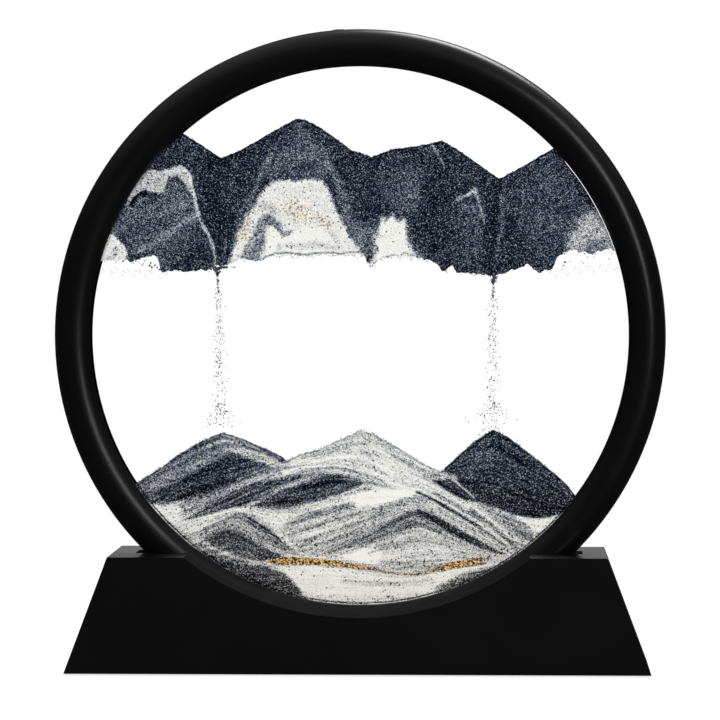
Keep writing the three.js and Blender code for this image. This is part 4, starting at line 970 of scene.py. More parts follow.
class Finish(Tree):
    """A material with one Principled surface."""

    def __init__(self, name):
        self.material = bpy.data.materials.new(name)
        super().__init__(self.material)

    def bump(self, height, strength, distance):
        return self.node("ShaderNodeBump", sockets={
            "Height": height, "Strength": strength, "Distance": distance,
        })

    def surface(self, sockets):
        shader = self.node("ShaderNodeBsdfPrincipled", sockets=sockets)
        self.node("ShaderNodeOutputMaterial", sockets={"Surface": shader})


def colour(red, green, blue):
    """A colour from its values on the screen, 0 to 255."""
    shares = [value / 255 for value in (red, green, blue)]
    return (*[s / 12.92 if s <= 0.04045 else ((s + 0.055) / 1.055) ** 2.4 for s in shares], 1)


# Finishes

# Colours of sand grains by their tone: blue-black to white above, and black to cream near the bed
COOL_SAND = [
    (0.0, colour(0, 1, 8)), (0.06, colour(1, 6, 18)), (0.12, colour(14, 24, 43)), (0.2, colour(35, 47, 70)),
    (0.33, colour(71, 83, 103)), (0.5, colour(118, 127, 141)), (0.65, colour(160, 165, 171)),
    (0.82, colour(222, 222, 217)), (0.92, colour(246, 245, 240)), (1.0, colour(255, 255, 250)),
]
WARM_SAND = [
    (0.0, colour(2, 2, 3)), (0.06, colour(8, 8, 9)), (0.12, colour(25, 25, 27)), (0.2, colour(46, 47, 50)),
    (0.33, colour(80, 81, 85)), (0.5, colour(125, 125, 128)), (0.65, colour(168, 168, 168)),
    (0.82, colour(222, 221, 215)), (0.92, colour(246, 244, 238)), (1.0, colour(255, 254, 248)),
]
GOLD_SAND = [
    (0.0, colour(14, 8, 2)), (0.3, colour(66, 39, 8)), (0.5, colour(160, 108, 32)),
    (0.7, colour(232, 184, 94)), (1.0, colour(255, 234, 184)),
]


def moulded_plastic(name, dark, light, roughness, texture, shine=0.5):
    """Moulded black plastic: a fine mould texture, and a gloss that is a little uneven."""
    finish = Finish(name)
    place = finish.place()
    patches = finish.noise(place, 45, 3)
    grain = finish.noise(place, 1 / texture, 3, 0.6)
    finish.surface({
        "Base Color": finish.blend(patches, dark, light),
        "Roughness": roughness + 0.10 * (patches - 0.5) + 0.06 * (grain - 0.5),
        "Specular IOR Level": shine,
        "Normal": finish.bump(grain, 0.12, 0.02 * MM),
    })
    return finish


def clear_pane(name, tint, least, most, roughness):
    """A clear sheet that only mirrors: a little when seen straight on, and most at a glancing angle."""
    finish = Finish(name)
    smears = finish.noise(finish.place(), 30, 3)
    facing = finish.node("ShaderNodeLayerWeight", sockets={"Blend": 0.5}).output("Facing")
    finish.surface({
        "Base Color": tint,
        "Metallic": 1.0,
        "Roughness": roughness + 0.03 * (smears - 0.5),
        "Alpha": least + most * facing ** 5,
    })
    return finish


def sand_finish():
    """Loose sand: fine grains about the tone painted on the layer, with coarse dark specks and gold."""
    finish = Finish("sand")
    tone = finish.node("ShaderNodeAttribute", {"attribute_name": "tone"}).output("Vector")
    flow = finish.node("ShaderNodeAttribute", {"attribute_name": "flow"}).output("Vector")
    pale, gold, streak = finish.split(tone)
    place = finish.place()
    _, _, height = finish.split(place)
    laminae = finish.noise(flow, 1.0, 5, 0.66)
    lamina = LAMINA_CONTRAST * streak * (laminae - 0.5) * pale * (1 - pale)
    pale = (1 + TONE_STRETCH) * pale - TONE_STRETCH + lamina
    pale = finish.node("ShaderNodeClamp", sockets={"Value": pale, "Min": 0.04, "Max": 0.97})
    cells = finish.node("ShaderNodeTexVoronoi", sockets={"Vector": place, "Scale": 1 / GRAIN})
    chance, rough, _ = finish.split(cells.output("Color"))
    coarse = finish.node("ShaderNodeTexVoronoi", sockets={"Vector": place, "Scale": 1 / COARSE_GRAIN})
    shade, share, speck = finish.split(coarse.output("Color"))
    mixed = (pale * (1 - pale)) ** 2
    specks = finish.rise(SPECKS * mixed - speck, 0.0, 0.01)
    level = (pale + GRAIN_CONTRAST * (chance ** (1 / pale - 1) - pale)) * (1 - SPECK_SHADE * specks)
    level = level * (1 + SPECK_BALANCE * pale * mixed)
    cool = finish.node("ShaderNodeValToRGB", {"stops": COOL_SAND}, {"Fac": level})
    warm = finish.node("ShaderNodeValToRGB", {"stops": WARM_SAND}, {"Fac": level})
    upper = finish.rise(height, WARM_HEIGHT, COOL_HEIGHT)
    gold_grains = finish.node("ShaderNodeValToRGB", {"stops": GOLD_SAND}, {"Fac": shade})
    grains = finish.blend(upper, warm, cool)
    gold_grains = finish.blend(SAND_IN_GOLD * pale * pale, gold_grains, grains)
    finish.surface({
        "Base Color": finish.blend(finish.rise(gold - share, 0.0, 0.06), grains, gold_grains),
        "Roughness": 0.7 + 0.25 * rough,
        "Specular IOR Level": 0.08,
        "Normal": finish.bump(cells, 0.25, 0.06 * MM),
    })
    return finish


def grain_finish():
    """Single dark grains, each of its own shade."""
    finish = Finish("falling sand")
    cells = finish.node("ShaderNodeTexVoronoi", sockets={"Vector": finish.place(), "Scale": 700.0})
    shade, speck, _ = finish.split(cells.output("Color"))
    finish.surface({
        "Base Color": finish.blend(shade, colour(20, 24, 34), colour(74, 80, 92)),
        "Roughness": 0.6 + 0.3 * speck,
    })
    return finish


def bubble_finish(side):
    """Air under the glass: clear, with a crescent of painted shade where it turns down and away from the
    middle.
    """
    finish = Finish(f"trapped air {side}")
    right, _, up = finish.split(finish.node("ShaderNodeTexCoord").output("Normal"))
    shaded_side = 0.75 if side == "right" else -0.75
    finish.surface({
        "Base Color": colour(50, 53, 58),
        "Roughness": 0.15,
        # Painted shade: the alpha and the dark colour rise on the side that faces down and away from the
        # middle
        "Alpha": 0.01 + 0.55 * finish.rise(shaded_side * right - 0.66 * up, 0.6, 0.95),
    })
    return finish


def rubber_finish():
    finish = Finish("foot rubber")
    grain = finish.noise(finish.place(), 2600, 3, 0.7)
    finish.surface({
        "Base Color": finish.blend(grain, colour(24, 24, 25), colour(46, 46, 47)),
        "Roughness": 0.78 + 0.15 * (grain - 0.5),
        "Normal": finish.bump(grain, 0.3, 0.05 * MM),
    })
    return finish


def felt_finish():
    finish = Finish("liner felt")
    place = finish.place()
    fibres = finish.noise(place, 3200, 5, 0.75)
    lint = finish.noise(place, 260, 3)
    finish.surface({
        "Base Color": finish.blend(0.6 * fibres + 0.4 * lint, colour(12, 12, 13), colour(44, 44, 46)),
        "Roughness": 0.9 + 0.1 * fibres,
        "Normal": finish.bump(fibres, 0.6, 0.12 * MM),
    })
    return finish


def steel_finish():
    finish = Finish("screw steel")
    brushing = finish.noise(finish.place(), 5200, 2)
    finish.surface({
        "Base Color": finish.blend(brushing, colour(150, 150, 152), colour(196, 196, 198)),
        "Metallic": 1.0,
        "Roughness": 0.24 + 0.2 * brushing,
        "Normal": finish.bump(brushing, 0.1, 0.02 * MM),
    })
    return finish


def silicone_finish():
    finish = Finish("silicone")
    cloud = finish.noise(finish.place(), 120, 3)
    finish.surface({
        "Base Color": finish.blend(cloud, colour(30, 30, 31), colour(48, 48, 50)),
        "Roughness": 0.42 + 0.15 * (cloud - 0.5),
    })
    return finish


BLACK, SOFT_BLACK = colour(6, 6, 7), colour(11, 11, 12)
rim_plastic = moulded_plastic("rim plastic", BLACK, SOFT_BLACK, 0.32, 0.35 * MM, shine=0.4)
base_plastic = moulded_plastic("base plastic", BLACK, SOFT_BLACK, 0.3, 0.3 * MM)
# The faces of the trough and notches: the same black plastic, coloured matt grey as a painted sheen
painted_sheen_plastic = moulded_plastic("painted sheen plastic", colour(36, 36, 36), colour(46, 46, 46), 0.8, 0.5 * MM,
                                 shine=0)
cover_plastic = moulded_plastic("cover plastic", colour(18, 18, 19), colour(28, 28, 29), 0.6, 0.5 * MM)
spacer_plastic = moulded_plastic("spacer plastic", colour(12, 12, 13), colour(20, 20, 21), 0.5, 0.4 * MM)
pane_glass = clear_pane("pane glass", (1, 1, 1, 1), 0.004, 0.5, 0.03)
liquid = clear_pane("clear liquid", (0.97, 0.99, 1, 1), 0.001, 0.02, 0.05)
sand = sand_finish()
loose_grain = grain_finish()
rubber = rubber_finish()
felt = felt_finish()
steel = steel_finish()
silicone = silicone_finish()

for finish, nodes in (
    (cover_plastic, ["bottom_cover"]),
    (spacer_plastic, ["spacer_ring"]),
    (liquid, ["liquid_fill"]),
    (felt, ["cradle_liner"]),
    (silicone, ["front_seal", "rear_seal"]),
    (rubber, [f"foot_{number}" for number in range(1, 5)]),
    (steel, [f"cover_screw_{number}" for number in range(1, 5)]),
):
    for node in nodes:
        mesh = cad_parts[node].data
        mesh.materials.clear()
        mesh.materials.append(finish.material)


# Pieces

def add_piece(name, bm, finish, body, slot, *replaced):
    """A finished piece from its bmesh, on its body and in place of its CAD nodes."""
    mesh = bpy.data.meshes.new(name)
    bm.to_mesh(mesh)
    bm.free()
    mesh.materials.append(finish.material)
    mesh.shade_smooth()
    mesh.set_sharp_from_angle(angle=SHARP_ANGLE)
    piece = bpy.data.objects.new(name, mesh)
    bpy.context.scene.collection.objects.link(piece)
    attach(piece, body)
    if replaced:
        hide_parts(*replaced)
    return piece


def corners(bm, least):
    """Edges where the surface turns by more than an angle in degrees."""
    return [edge for edge in bm.edges if edge.calc_face_angle(0) > math.radians(least)]


def soften(bm, edges, width, segments, clamp=False):
    """Rounds edges off."""
    bmesh.ops.bevel(bm, geom=edges, offset=width, affect="EDGES", segments=segments, profile=0.5,
                    material=-1, clamp_overlap=clamp)


def spun(profile):
    """A closed ring from a section given as radius and depth."""
    bm = bmesh.new()
    verts = [bm.verts.new((radius, depth, CENTRE.z)) for radius, depth in profile]
    edges = [bm.edges.new(pair) for pair in zip(verts, verts[1:] + verts[:1])]
    bmesh.ops.spin(bm, geom=verts + edges, cent=CENTRE, axis=(0, 1, 0), angle=math.tau, steps=ROUND_STEPS,
                   use_merge=True)
    bmesh.ops.recalc_face_normals(bm, faces=bm.faces)
    return bm


def rim_half(side):
    """Section of one half of the rim: parting line, outer quarter, round lip over the pane, pocket."""
    outside = RIM_RADIUS - CREST_RADIUS
    inside = CREST_RADIUS - WINDOW_RADIUS
    lip_curve = (inside ** 2 + LIP_RISE ** 2) / (2 * LIP_RISE)
    lip_turn = math.asin(inside / lip_curve)
    shares = [step / PROFILE_STEPS for step in range(PROFILE_STEPS + 1)]
    profile = [(RIM_RADIUS - SEAM_DEPTH, PARTING)]
    for share in shares:
        turn = share * math.pi / 2
        depth = max(RIM_HALF_DEPTH * math.sin(turn), SEAM_HALF_WIDTH)
        profile.append((CREST_RADIUS + outside * math.cos(turn), depth))
    for share in shares[1:]:
        turn = share * lip_turn
        depth = RIM_HALF_DEPTH - lip_curve * (1 - math.cos(turn)) + LIP_GAP
        profile.append((CREST_RADIUS - lip_curve * math.sin(turn), depth))
    profile += [(POCKET_RADIUS, PANE_OUTSIDE + LIP_GAP), (POCKET_RADIUS, PARTING)]
    return [(radius, side * depth) for radius, depth in profile]


def base_outline(depth, radius):
    """The base's outline at one depth, with the arc that holds or clears the ring."""
    reach = math.acos((CENTRE.z - BASE_TOP) / radius)
    points = [
        (-BASE_HALF_WIDTH, BASE_FOOT), (BASE_HALF_WIDTH, BASE_FOOT), (BASE_TOP_HALF_WIDTH, BASE_TOP),
    ]
    for step in range(ARC_STEPS + 1):
        turn = reach * (1 - 2 * step / ARC_STEPS)
        points.append((radius * math.sin(turn), CENTRE.z - radius * math.cos(turn)))
    points.append((-BASE_TOP_HALF_WIDTH, BASE_TOP))
    return [Vector((x, depth, z)) for x, z in points]


def on_arc(vert):
    """Whether a point of the base lies on the trough or on a notch."""
    radius = math.hypot(vert.co.x, vert.co.z - CENTRE.z)
    return min(abs(radius - NOTCH_RADIUS), abs(radius - TROUGH_RADIUS)) < ARC_TOLERANCE


def base_shell():
    """The trapezoid base: a trough for the ring, notches clear of the window, and a recess beneath."""
    bm = bmesh.new()
    loop = [bm.verts.new(place) for place in base_outline(-BASE_HALF_DEPTH, NOTCH_RADIUS)]
    front = bm.faces.new(loop)
    edges = list(front.edges)
    for depth, radius in (
        (-TROUGH_HALF_WIDTH, NOTCH_RADIUS), (-TROUGH_HALF_WIDTH, TROUGH_RADIUS),
        (TROUGH_HALF_WIDTH, TROUGH_RADIUS), (TROUGH_HALF_WIDTH, NOTCH_RADIUS),
        (BASE_HALF_DEPTH, NOTCH_RADIUS),
    ):
        made = bmesh.ops.extrude_edge_only(bm, edges=edges)["geom"]
        fresh = {item for item in made if isinstance(item, bmesh.types.BMVert)}
        loop = [next(edge.other_vert(vert) for edge in vert.link_edges if edge.other_vert(vert) in fresh)
                for vert in loop]
        edges = [item for item in made
                 if isinstance(item, bmesh.types.BMEdge) and set(item.verts) <= fresh]
        for vert, place in zip(loop, base_outline(depth, radius)):
            vert.co = place
    bm.faces.new(loop)
    bmesh.ops.remove_doubles(bm, verts=bm.verts, dist=MERGE)
    bmesh.ops.recalc_face_normals(bm, faces=bm.faces)
    bottom = [face for face in bm.faces if face.normal.z < -0.99]
    bmesh.ops.inset_region(bm, faces=bottom, thickness=BASE_WALL)
    bmesh.ops.translate(bm, verts=list({vert for face in bottom for vert in face.verts}),
                        vec=(0, 0, COVER_THICKNESS + COVER_GAP))
    for rounding, arcs in ((ARC_ROUNDING, True), (BASE_ROUNDING, False)):
        sharp = [edge for edge in corners(bm, 25) if all(on_arc(vert) for vert in edge.verts) == arcs]
        soften(bm, sharp, rounding, 3, clamp=True)
    # Faces on the arcs take the second finish, the grey of the painted sheen
    for face in bm.faces:
        face.material_index = int(all(on_arc(vert) for vert in face.verts))
    return bm


def pane_disc(side):
    """A round pane with ground edges."""
    bm = bmesh.new()
    middle = CENTRE + Vector((0, side * (PANE_OUTSIDE + PANE_INSIDE) / 2, 0))
    place = Matrix.Translation(middle) @ Matrix.Rotation(math.pi / 2, 4, "X")
    bmesh.ops.create_cone(bm, cap_ends=True, segments=ROUND_STEPS, radius1=PANE_RADIUS,
                          radius2=PANE_RADIUS, depth=PANE_OUTSIDE - PANE_INSIDE, matrix=place)
    soften(bm, corners(bm, 60), PANE_BEVEL, 2)
    return bm


def plug_head():
    """The head of the plug that closes the filling hole in the rim's edge."""
    bm = bmesh.new()
    upright = Matrix.Translation((0, 0, RIM_RADIUS - PLUG_SINK))
    place = Matrix.Translation(CENTRE) @ Matrix.Rotation(PLUG_ANGLE, 4, "Y") @ upright
    bmesh.ops.create_cone(bm, cap_ends=True, segments=40, radius1=PLUG_BORE, radius2=PLUG_BORE,
                          depth=PLUG_HEIGHT, matrix=place)
    soften(bm, corners(bm, 60), PLUG_BEVEL, 3)
    return bm


for side, name, pane in ((-1, "front_rim", "front_glass"), (1, "rear_rim", "rear_glass")):
    add_piece(f"{name}_moulding", spun(rim_half(side)), rim_plastic, "round_frame", "rim_plastic", name)
    add_piece(f"{pane}_pane", pane_disc(side), pane_glass, "round_frame", "pane_glass", pane)
add_piece("fill_plug_head", plug_head(), silicone, "round_frame", "silicone", "fill_plug")
base = add_piece("base_moulding", base_shell(), base_plastic, "base", "base_plastic", "base_shell")
base.data.materials.append(painted_sheen_plastic.material)


# Sand

def smooth(low, high, value):
    share = np.clip((value - low) / (high - low), 0, 1)
    return share * share * (3 - 2 * share)


def drift(x, z, size, seed):
    """Smooth random values from -1 to 1 over the landscape, in patches of the given size."""
    table = np.random.default_rng(seed).uniform(-1, 1, (DRIFT_CELLS, DRIFT_CELLS))
    column, row = x / size + 2 * DRIFT_CELLS, z / size + 2 * DRIFT_CELLS
    i, j = np.floor(column).astype(int), np.floor(row).astype(int)
    a, b = smooth(0, 1, column - i), smooth(0, 1, row - j)
    i, j, i1, j1 = (cell % DRIFT_CELLS for cell in (i, j, i + 1, j + 1))
    below = table[i, j] * (1 - a) + table[i1, j] * a
    above = table[i, j1] * (1 - a) + table[i1, j1] * a
    return below * (1 - b) + above * b


def millimetres(u):
    """Millimetres from window radii."""
    return u * WINDOW_RADIUS / MM


def uneven(kinds, x, z):
    """Random unevenness of several sizes together."""
    return sum(amount * drift(x, z, size, seed) for amount, size, seed in kinds)


def skyline(outline, u):
    """Height of an outline with the unevenness of loose sand, far below where it doesn't reach."""
    x = millimetres(u)
    return np.interp(u, *zip(*outline), left=NOWHERE, right=NOWHERE) + uneven(SKYLINE_EDGE, x, 0 * x)


def distance(points, u, v, closed):
    """Distance from points of the landscape to a line, and whether they lie inside it."""
    away = np.full(u.shape, np.inf)
    inside = np.zeros(u.shape, bool)
    ends = points[1:] + points[:1] if closed else points[1:]
    for (u0, v0), (u1, v1) in zip(points, ends):
        du, dv = u1 - u0, v1 - v0
        share = np.clip(((u - u0) * du + (v - v0) * dv) / (du * du + dv * dv), 0, 1)
        away = np.minimum(away, np.hypot(u - u0 - share * du, v - v0 - share * dv))
        if closed and dv:
            crossing = ((v0 > v) != (v1 > v)) & (u < u0 + du * (v - v0) / dv)
            inside ^= crossing
    return away, inside


def painted(u, v, ground, edge, brushes):
    """How pale the sand is and how much gold is in it, with every brush mark laid on in turn."""
    pale = np.full(u.shape, ground)
    gold = np.zeros(u.shape)
    ragged = uneven(MARK_EDGE, millimetres(u), millimetres(v))
    for _, width, blur, mark_pale, mark_gold, points in brushes:
        away, inside = distance(points, u, v, width == 0)
        away = millimetres(away)
        if width == 0:
            away = np.where(inside, -away, away)
        away = away - width / 2 + edge * blur * ragged
        cover = 1 - smooth(-blur / 2, blur / 2, away)
        pale += (mark_pale - pale) * cover
        gold += (mark_gold - gold) * cover
    return pale, gold


def strata_at(u, v):
    """Depth below the skyline along the laminae, in millimetres."""
    heights = [np.interp(u, *zip(*line)) for line in STRATA]
    depth = np.zeros(u.shape)
    for upper, lower in zip(heights, heights[1:]):
        gap = np.maximum(upper - lower, LEAST_STRATUM)
        depth += np.clip((upper - v) / gap, 0, 1) * max(float(np.mean(gap)), LEAST_MEAN_STRATUM)
    return millimetres(depth)


def layer_edges(layers, name, foot, u):
    """Roof and floor of a layer: under its outline, over the layers in front, inside the chamber."""
    names = list(layers)
    in_front = names[names.index(name) + 1:]
    roof = skyline(layers[name][1], u)
    floor = np.max([foot(u)] + [skyline(layers[other][1], u) for other in in_front], axis=0)
    reach = CHAMBER_REACH - np.where(foot(u) > NOWHERE, BANK_END_GAP * smooth(*BANK_END, u), 0)
    limit = np.sqrt(np.clip(reach ** 2 - u ** 2, 0, None))
    return np.minimum(roof, limit), np.maximum(floor, -limit)


def sand_layer(name, layers, foot, step, colouring):
    """One layer of sand: a grid drawn out between its floor and its roof and given its depth."""
    fine = np.arange(-CHAMBER_REACH, CHAMBER_REACH, OUTLINE_STEP)
    roof, floor = layer_edges(layers, name, foot, fine)
    thick = roof - floor > LEAST_LAYER
    starts = np.flatnonzero(np.diff(np.concatenate([[0], thick.astype(int), [0]])))
    runs = list(zip(starts[::2], starts[1::2]))
    first, last = max(runs, key=lambda run: run[1] - run[0])
    fine, roof, floor = fine[first:last], roof[first:last], floor[first:last]
    columns = math.ceil((fine[-1] - fine[0]) * WINDOW_RADIUS / step)
    rows = max(2, math.ceil(float(np.max(roof - floor)) * WINDOW_RADIUS / step))
    bm = bmesh.new()
    bmesh.ops.create_grid(bm, x_segments=columns, y_segments=rows, size=0.5)
    made = bmesh.ops.extrude_face_region(bm, geom=bm.faces)["geom"]
    back = [item for item in made if isinstance(item, bmesh.types.BMVert)]
    bmesh.ops.translate(bm, verts=back, vec=(0, 0, 1))
    shares = np.array([vert.co for vert in bm.verts])
    u = fine[0] + (shares[:, 0] + 0.5) * (fine[-1] - fine[0])
    low, high = np.interp(u, fine, floor), np.interp(u, fine, roof)
    v = low + (shares[:, 1] + 0.5) * (high - low)
    for vert, across, up in zip(bm.verts, u, v):
        depth = SAND_FRONT + vert.co.z * (SAND_REAR - SAND_FRONT)
        vert.co = CENTRE + Vector((across * WINDOW_RADIUS, depth, up * WINDOW_RADIUS))
    bmesh.ops.recalc_face_normals(bm, faces=bm.faces)
    piece = add_piece(f"{name}_grains", bm, sand, "round_frame", layers[name][0], name)
    tone, flow = colouring(u, v)
    for label, values in (("tone", tone), ("flow", flow)):
        attribute = piece.data.attributes.new(label, "FLOAT_VECTOR", "POINT")
        attribute.data.foreach_set("vector", np.stack(values, axis=1).astype(np.float32).ravel())


def bank_foot(u):
    x = millimetres(u)
    return np.interp(u, *zip(*BANK_FOOT)) + uneven(FOOT_EDGE, x, 0 * x)


def no_foot(u):
    return np.full(u.shape, NOWHERE)


def bank_colouring(u, v):
    pale, gold = painted(u, v, BANK_TONE, BANK_RAGGED, UPPER_BRUSHES)
    x, z = millimetres(u), millimetres(v)
    return (pale, gold, np.full(u.shape, BANK_STREAKS)), (x / CLOUD, z / CLOUD, 0 * x)


def dune_colouring(u, v):
    pale, gold = painted(u, v, DUNE_TONE, DUNE_RAGGED, LOWER_BRUSHES)
    x = millimetres(u)
    flow = (x / LAMINA_LENGTH, strata_at(u, v) / LAMINA_THICKNESS, 0 * x)
    return (pale, gold, np.full(u.shape, DUNE_STREAKS)), flow


for name in UPPER_LAYERS:
    sand_layer(name, UPPER_LAYERS, bank_foot, BANK_STEP, bank_colouring)
for name in LOWER_LAYERS:
    sand_layer(name, LOWER_LAYERS, no_foot, DUNE_STEP, dune_colouring)


def grain_cloud(places, sizes, seed):
    """Single grains, each a small uneven ball."""
    chance = np.random.default_rng(seed)
    bm = bmesh.new()
    for (u, v), size in zip(places, sizes):
        depth = chance.uniform(SAND_FRONT + size, SAND_FRONT + GRAIN_SPREAD)
        place = CENTRE + Vector((u * WINDOW_RADIUS, depth, v * WINDOW_RADIUS))
        shape = Matrix.Diagonal((*chance.uniform(*GRAIN_SHAPE, 3), 1))
        bmesh.ops.create_icosphere(bm, subdivisions=1, radius=size,
                                   matrix=Matrix.Translation(place) @ shape)
    return bm


def stream(spout, peak, splash, seed):
    """Places and sizes of falling grains: a funnel and a thread, then a loose column, then a splash."""
    chance = np.random.default_rng(seed)
    places, sizes = [], []
    for count, start, end, spread_above, spread_below, smallest, largest in (
        (76, 0.0, 0.045, 0.02, 0.004, 0.16, 0.3),
        (44, 0.04, 0.15, 0.005, 0.005, 0.12, 0.22),
        (230, 0.12, 0.94, 0.019, 0.027, 0.1, 0.21),
        (80, 0.84, 0.99, 0.03, splash, 0.1, 0.21),
    ):
        share = chance.uniform(0, 1, count)
        fall = start + (end - start) * share
        spread = spread_above + (spread_below - spread_above) * share
        lean = (peak[0] - spout[0]) / 2 * fall
        u = spout[0] + lean + spread * np.clip(chance.normal(0, 0.5, count), -1.3, 1.3)
        v = spout[1] + (peak[1] + LANDING - spout[1]) * fall
        places += zip(u, v)
        sizes += list(chance.uniform(smallest, largest, count) * MM)
    return places, sizes


for side, spout, peak, splash, seed in (
    ("left", LEFT_SPOUT, LEFT_PEAK, 0.08, 21), ("right", RIGHT_SPOUT, RIGHT_PEAK, 0.12, 22),
):
    places, sizes = stream(spout, peak, splash, seed)
    add_piece(f"sand_stream_{side}_grains", grain_cloud(places, sizes, seed), loose_grain, "round_frame",
              "sand_navy", f"sand_stream_{side}")


def scattered(line, first, last, count, spread, largest, seed):
    """Loose grains about a line of the landscape, between two places across it."""
    chance = np.random.default_rng(seed)
    across = chance.uniform(first, last, count)
    up = np.interp(across, *zip(*line)) + chance.normal(0, spread, count)
    return list(zip(across, up, chance.uniform(LEAST_GRAIN, largest, count)))


# Grains that came to rest apart from the layers: place in window radii, and radius in millimetres
STRAY_GRAINS = [
    (0.762, 0.272, 0.4), (0.756, 0.259, 0.25), (0.78, 0.274, 0.2), (0.825, 0.275, 0.22),
    (0.831, 0.268, 0.2), (0.869, 0.29, 0.2), (0.925, 0.284, 0.25), (0.936, 0.302, 0.2),
    (0.959, 0.251, 0.18), (-0.818, 0.268, 0.2), (-0.81, 0.261, 0.25), (-0.805, 0.266, 0.2),
    (-0.801, 0.276, 0.22), (-0.796, 0.281, 0.18), (-0.778, 0.269, 0.28), (-0.782, 0.259, 0.36),
    (-0.774, 0.253, 0.3), (-0.762, 0.26, 0.3), (-0.754, 0.252, 0.3), (-0.745, 0.244, 0.3),
    (-0.881, 0.276, 0.28), (-0.874, 0.281, 0.2), (-0.843, 0.268, 0.2), (-0.829, 0.274, 0.18),
]
SPLASH = [(0.41, -0.39), (0.495, -0.335), (0.6, -0.41)]  # grains that leap over the right dune
LEFT_BAR = [(-0.557, 0.2515), (-0.466, 0.253)]  # a crust over the left spout
loose = {
    "loose_grains_bank": STRAY_GRAINS
    + scattered(BANK_FOOT, -0.96, 0.95, 260, 0.004, 0.22, 31)
    + scattered(BANK_FOOT, -0.44, 0.16, 150, 0.005, 0.2, 32)
    + scattered(LEFT_BAR, -0.548, -0.49, 100, 0.002, 0.28, 33)
    + scattered(LEFT_BAR, -0.5, -0.462, 16, 0.001, 0.2, 34)
    + scattered(UPPER_LAYERS["sand_bank"][1], -0.66, 0.72, 300, 0.0018, 0.16, 35),
    "loose_grains_dunes": scattered(LOWER_LAYERS["sand_dune_left"][1], -0.83, -0.28, 380, 0.003, 0.18, 36)
    + scattered(LOWER_LAYERS["sand_dune_right"][1], 0.31, 0.79, 380, 0.003, 0.18, 37)
    + scattered(LOWER_LAYERS["sand_dune_centre"][1], -0.28, 0.31, 420, 0.0036, 0.17, 38)
    + scattered(SPLASH, 0.42, 0.59, 36, 0.007, 0.2, 39),
}
for number, (name, grains) in enumerate(loose.items()):
    places = [(u, v) for u, v, _ in grains]
    sizes = [size * MM for _, _, size in grains]
    add_piece(name, grain_cloud(places, sizes, 40 + number), loose_grain, "round_frame", "sand_navy")

BUBBLES = {
    "left": [
        (-0.965, 0.235), (-0.914, 0.236), (-0.872, 0.233), (-0.829, 0.231), (-0.785, 0.229), (-0.73, 0.224),
    ],
    "right": [
        (0.72, 0.228), (0.762, 0.236), (0.808, 0.242), (0.856, 0.246), (0.904, 0.249), (0.94, 0.254),
    ],
}
BUBBLE_RADIUS, BUBBLE_HALF_DEPTH, BUBBLE_SINK = 1.25 * MM, 0.7 * MM, 0.75 * MM
for side, places in BUBBLES.items():
    bm = bmesh.new()
    for u, v in places:
        place = CENTRE + Vector((u * WINDOW_RADIUS, -PANE_INSIDE + BUBBLE_SINK, v * WINDOW_RADIUS))
        shape = Matrix.Diagonal((BUBBLE_RADIUS, BUBBLE_HALF_DEPTH, BUBBLE_RADIUS, 1))
        bmesh.ops.create_uvsphere(bm, u_segments=24, v_segments=12, radius=1,
                                  matrix=Matrix.Translation(place) @ shape)
    add_piece(f"trapped_air_{side}_bubbles", bm, bubble_finish(side), "round_frame", "trapped_air",
              f"trapped_air_{side}")


# Stage

def softbox(name, place, aim, size, power, glossy=True):
    light = bpy.data.lights.new(name, "AREA")
    light.shape = "RECTANGLE"
    light.size, light.size_y = size
    light.energy = power
    lamp = bpy.data.objects.new(name, light)
    lamp.location = place
    lamp.rotation_euler = (Vector(aim) - Vector(place)).to_track_quat("-Z", "Y").to_euler()
    lamp.visible_camera = False
    lamp.visible_glossy = glossy
    bpy.context.scene.collection.objects.link(lamp)


FLOOR_HALF, FLOOR_DROP = 0.7, 0.05 * MM
FLOOR_FADE = 0.2, 0.6  # from the middle, where the floor begins to fade and where it has gone
FLOOR_GLOW = (0.76, 0.76, 0.76, 1)
BACKDROP, ROOM_LEAST, ROOM_TOP = 1.02, 0.03, 0.4  # brightness to the camera, and that of the room


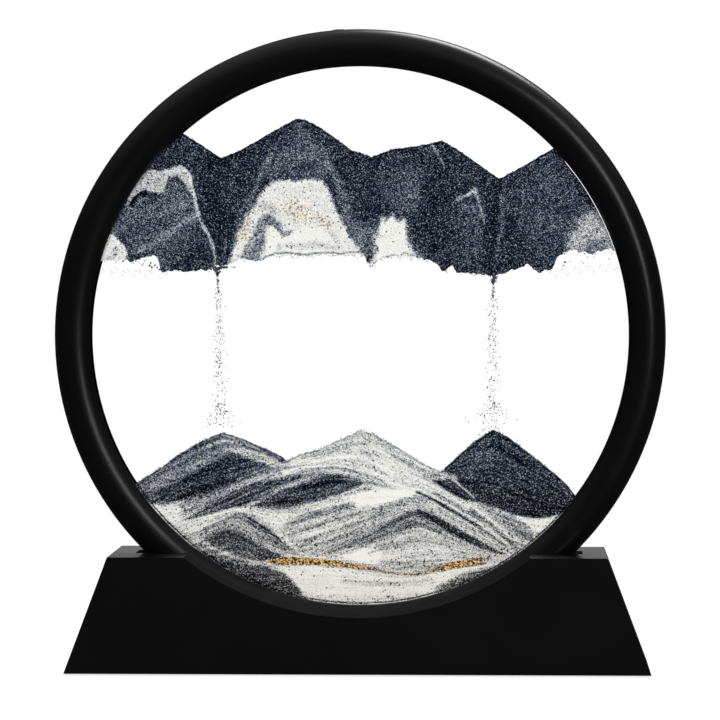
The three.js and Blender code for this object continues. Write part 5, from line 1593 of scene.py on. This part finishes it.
def pale_floor():
    """A floor that is white to the camera, keeps the object's shadow and fades into the white room."""
    bm = bmesh.new()
    bmesh.ops.create_grid(bm, x_segments=1, y_segments=1, size=FLOOR_HALF,
                          matrix=Matrix.Translation((0, 0, -FLOOR_DROP)))
    mesh = bpy.data.meshes.new("floor")
    bm.to_mesh(mesh)
    bm.free()
    floor = bpy.data.objects.new("floor", mesh)
    bpy.context.scene.collection.objects.link(floor)
    finish = Finish("floor")
    seen = finish.node("ShaderNodeLightPath").output("Is Camera Ray")
    length = finish.node("ShaderNodeVectorMath", {"operation": "LENGTH"}, {0: finish.place()})
    away = length.output("Value")
    finish.surface({
        "Base Color": (0.5, 0.5, 0.5, 1),
        "Roughness": 0.9,
        "Specular IOR Level": 0.0,
        "Emission Color": finish.blend(seen, (0, 0, 0, 1), FLOOR_GLOW),
        "Emission Strength": 1.0,
        "Alpha": 1 - finish.rise(away, *FLOOR_FADE),
    })
    mesh.materials.append(finish.material)
    floor.visible_glossy = False


def studio_world():
    """White to the camera, and to everything else a room that is bright above and dim in front."""
    world = bpy.data.worlds.new("studio")
    bpy.context.scene.world = world
    tree = Tree(world)
    _, _, up = tree.split(tree.node("ShaderNodeTexCoord"))
    rays = tree.node("ShaderNodeLightPath")
    seen = (rays + rays.output("Is Transmission Ray")).clamp()
    room = ROOM_LEAST + ROOM_TOP * tree.rise(up, 0.3, 1.0)
    level = BACKDROP * seen + (1 - seen) * room
    shade = tree.node("ShaderNodeBackground", sockets={"Color": (1, 1, 1, 1), "Strength": level})
    tree.node("ShaderNodeOutputWorld", sockets={"Surface": shade})


pale_floor()
studio_world()
softbox("behind", (0.33, 0.78, 1.09), CENTRE, (0.6, 0.3), 6)
softbox("front fill", (0.15, -1.7, 0.9), CENTRE, (1.4, 1.2), 29, glossy=False)
softbox("low behind", (0.05, 0.9, 0.13), (0, 0, BASE_TOP), (0.9, 0.1), 0.25)
softbox("right front", (0.66, -1.0, 0.5), CENTRE, (0.22, 0.6), 3)
softbox("back fill", (-0.15, 1.7, 0.35), CENTRE, (1.2, 0.6), 14, glossy=False)

CAMERA_TURN, CAMERA_REACH, CAMERA_HEIGHT = math.radians(2.037), 1.2592, 0.1248
CAMERA_AIM = Vector((0.0001, 0, 0.09))
camera = bpy.data.cameras.new("camera")
camera.lens, camera.sensor_width = 216.3, 36
eye = bpy.data.objects.new("camera", camera)
eye.location = CAMERA_REACH * math.sin(CAMERA_TURN), -CAMERA_REACH * math.cos(CAMERA_TURN), CAMERA_HEIGHT
eye.rotation_euler = (CAMERA_AIM - eye.location).to_track_quat("-Z", "Y").to_euler()
bpy.context.scene.collection.objects.link(eye)
bpy.context.scene.camera = eye
bpy.context.scene.view_settings.view_transform = "Standard"
